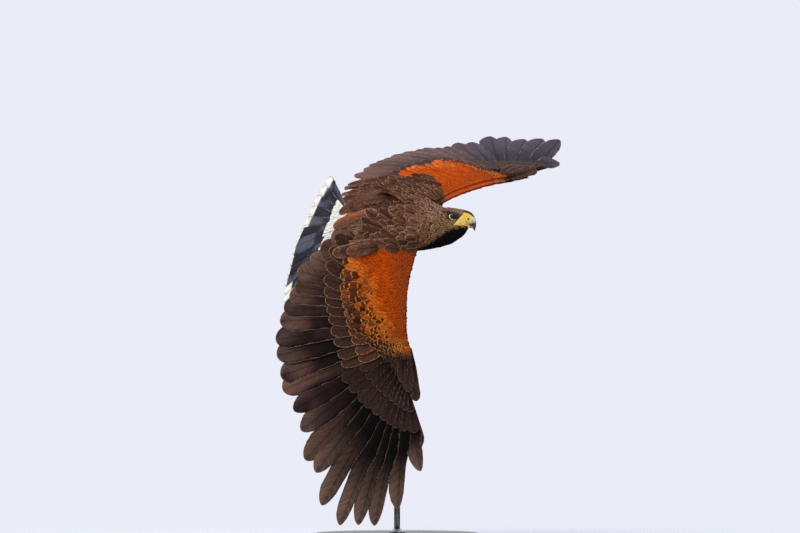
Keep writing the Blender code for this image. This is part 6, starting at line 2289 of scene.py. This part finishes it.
# stained wood: rings of growth stretched along the grain, pores, a worn satin polish
def woodLook():
    look, w, shader = newLook("darkWood", Roughness=0.4, Coat_Weight=0.3, Coat_Roughness=0.25)
    place = w.node("ShaderNodeTexCoord")
    stretch = w.node("ShaderNodeMapping")
    stretch.inputs["Scale"].default_value = (1.0, 14.0, 14.0)
    w.put(stretch.inputs["Vector"], place.outputs["Object"])
    bands = w.noise(stretch.outputs[0], 2.6, 5.0, 0.6)
    pores = w.noise(stretch.outputs[0], 26.0, 3.0, 0.6)
    shade = w.blend(w.ramp(bands, 0.32, 0.68), (0.018, 0.009, 0.005, 1), (0.060, 0.028, 0.014, 1))
    shade = w.blend(w.ramp(pores, 0.52, 0.72, 0.0, 0.6), shade, (0.008, 0.004, 0.003, 1))
    w.put(shader.inputs["Base Color"], shade)
    w.put(shader.inputs["Roughness"], w.ramp(pores, 0.3, 0.7, 0.30, 0.50))
    addBump(w, shader, pores, 0.12, 0.0004)
    return look


# brushed steel: fine scratches round the rod, roughness that follows them
def steelLook():
    look, w, shader = newLook("brushedSteel", Metallic=1.0, Roughness=0.3)
    place = w.node("ShaderNodeTexCoord")
    stretch = w.node("ShaderNodeMapping")
    stretch.inputs["Scale"].default_value = (6.0, 6.0, 900.0)
    w.put(stretch.inputs["Vector"], place.outputs["Object"])
    lines = w.noise(stretch.outputs[0], 5.0, 3.0, 0.6)
    w.put(
        shader.inputs["Base Color"],
        w.blend(w.ramp(lines, 0.3, 0.7), (0.42, 0.43, 0.44, 1), (0.62, 0.63, 0.64, 1)),
    )
    w.put(shader.inputs["Roughness"], w.ramp(lines, 0.3, 0.7, 0.24, 0.40))
    addBump(w, shader, lines, 0.08, 0.0002)
    return look


wood, steel = woodLook(), steelLook()
turned("standBase", stand["base"], 128, wood, "stand_base")
turned("standCollar", stand["collar"], 64, steel, "stand_collar", ring=True)
turned("standRod", stand["rod"], 48, steel, "stand_rod")
print("stand done")


# a pale floor that fades out into the sky all round
def floorPiece():
    radius, sides = 1.15, 96
    angle = np.arange(sides) * 2 * math.pi / sides
    rows = np.linspace(0.0005, radius, 24)
    points = np.stack(
        (rows[:, None] * np.cos(angle), rows[:, None] * np.sin(angle), np.full((24, sides), -0.0002)), -1,
    )
    look, w, shader = newLook("paleFloor", Roughness=0.8)
    shader.inputs["Base Color"].default_value = (0.80, 0.82, 0.86, 1)
    place = w.node("ShaderNodeTexCoord")
    far = w.node("ShaderNodeVectorMath", operation="LENGTH")
    w.put(far.inputs[0], place.outputs["Object"])
    w.put(shader.inputs["Alpha"], w.ramp(far.outputs["Value"], 0.45, 1.10, 1.0, 0.0))
    mesh = bpy.data.meshes.new("floor")
    mesh.from_pydata(points.reshape(-1, 3).tolist(), [], gridFaces(24, sides, wrap=True).tolist())
    mesh.materials.append(look)
    floor = bpy.data.objects.new("floor", mesh)
    bpy.context.scene.collection.objects.link(floor)


floorPiece()


# camera, lights and floor
studio = {
    "camera": (0.0053, -16.038, 0.5027),
    "lens": 396.0,
    "sky": (0.823, 0.839, 0.930),
    "skyStrength": 1.0,
}


def studioScene(plan):
    scene = bpy.context.scene
    data = bpy.data.cameras.new("camera")
    data.lens, data.sensor_width, data.clip_start, data.clip_end = plan["lens"], 36.0, 0.1, 200.0
    camera = bpy.data.objects.new("camera", data)
    camera.location = plan["camera"]
    camera.rotation_euler = (math.pi / 2, 0, 0)
    scene.collection.objects.link(camera)
    scene.camera = camera
    scene.view_settings.view_transform = "Standard"
    world = bpy.data.worlds.new("world")
    world.use_nodes = True
    background = world.node_tree.nodes["Background"]
    background.inputs["Color"].default_value = (*plan["sky"], 1)
    background.inputs["Strength"].default_value = plan["skyStrength"]
    scene.world = world
    for name, place, aim, size, power, colour in (
        ("key", (-1.6, -2.6, 2.6), (0.0, 0.0, 0.5), 1.6, 95.0, (1.0, 0.97, 0.92)),
    ):
        lamp = bpy.data.lights.new(name, "AREA")
        lamp.energy, lamp.size, lamp.color = power, size, colour
        made = bpy.data.objects.new(name, lamp)
        made.location = place
        away = unit(np.array(place) - np.array(aim))
        across = unit(np.cross((0, 0, 1), away))
        rise = np.cross(away, across)
        made.rotation_euler = Matrix(np.stack((across, rise, away), 1).tolist()).to_euler()
        scene.collection.objects.link(made)


studioScene(studio)
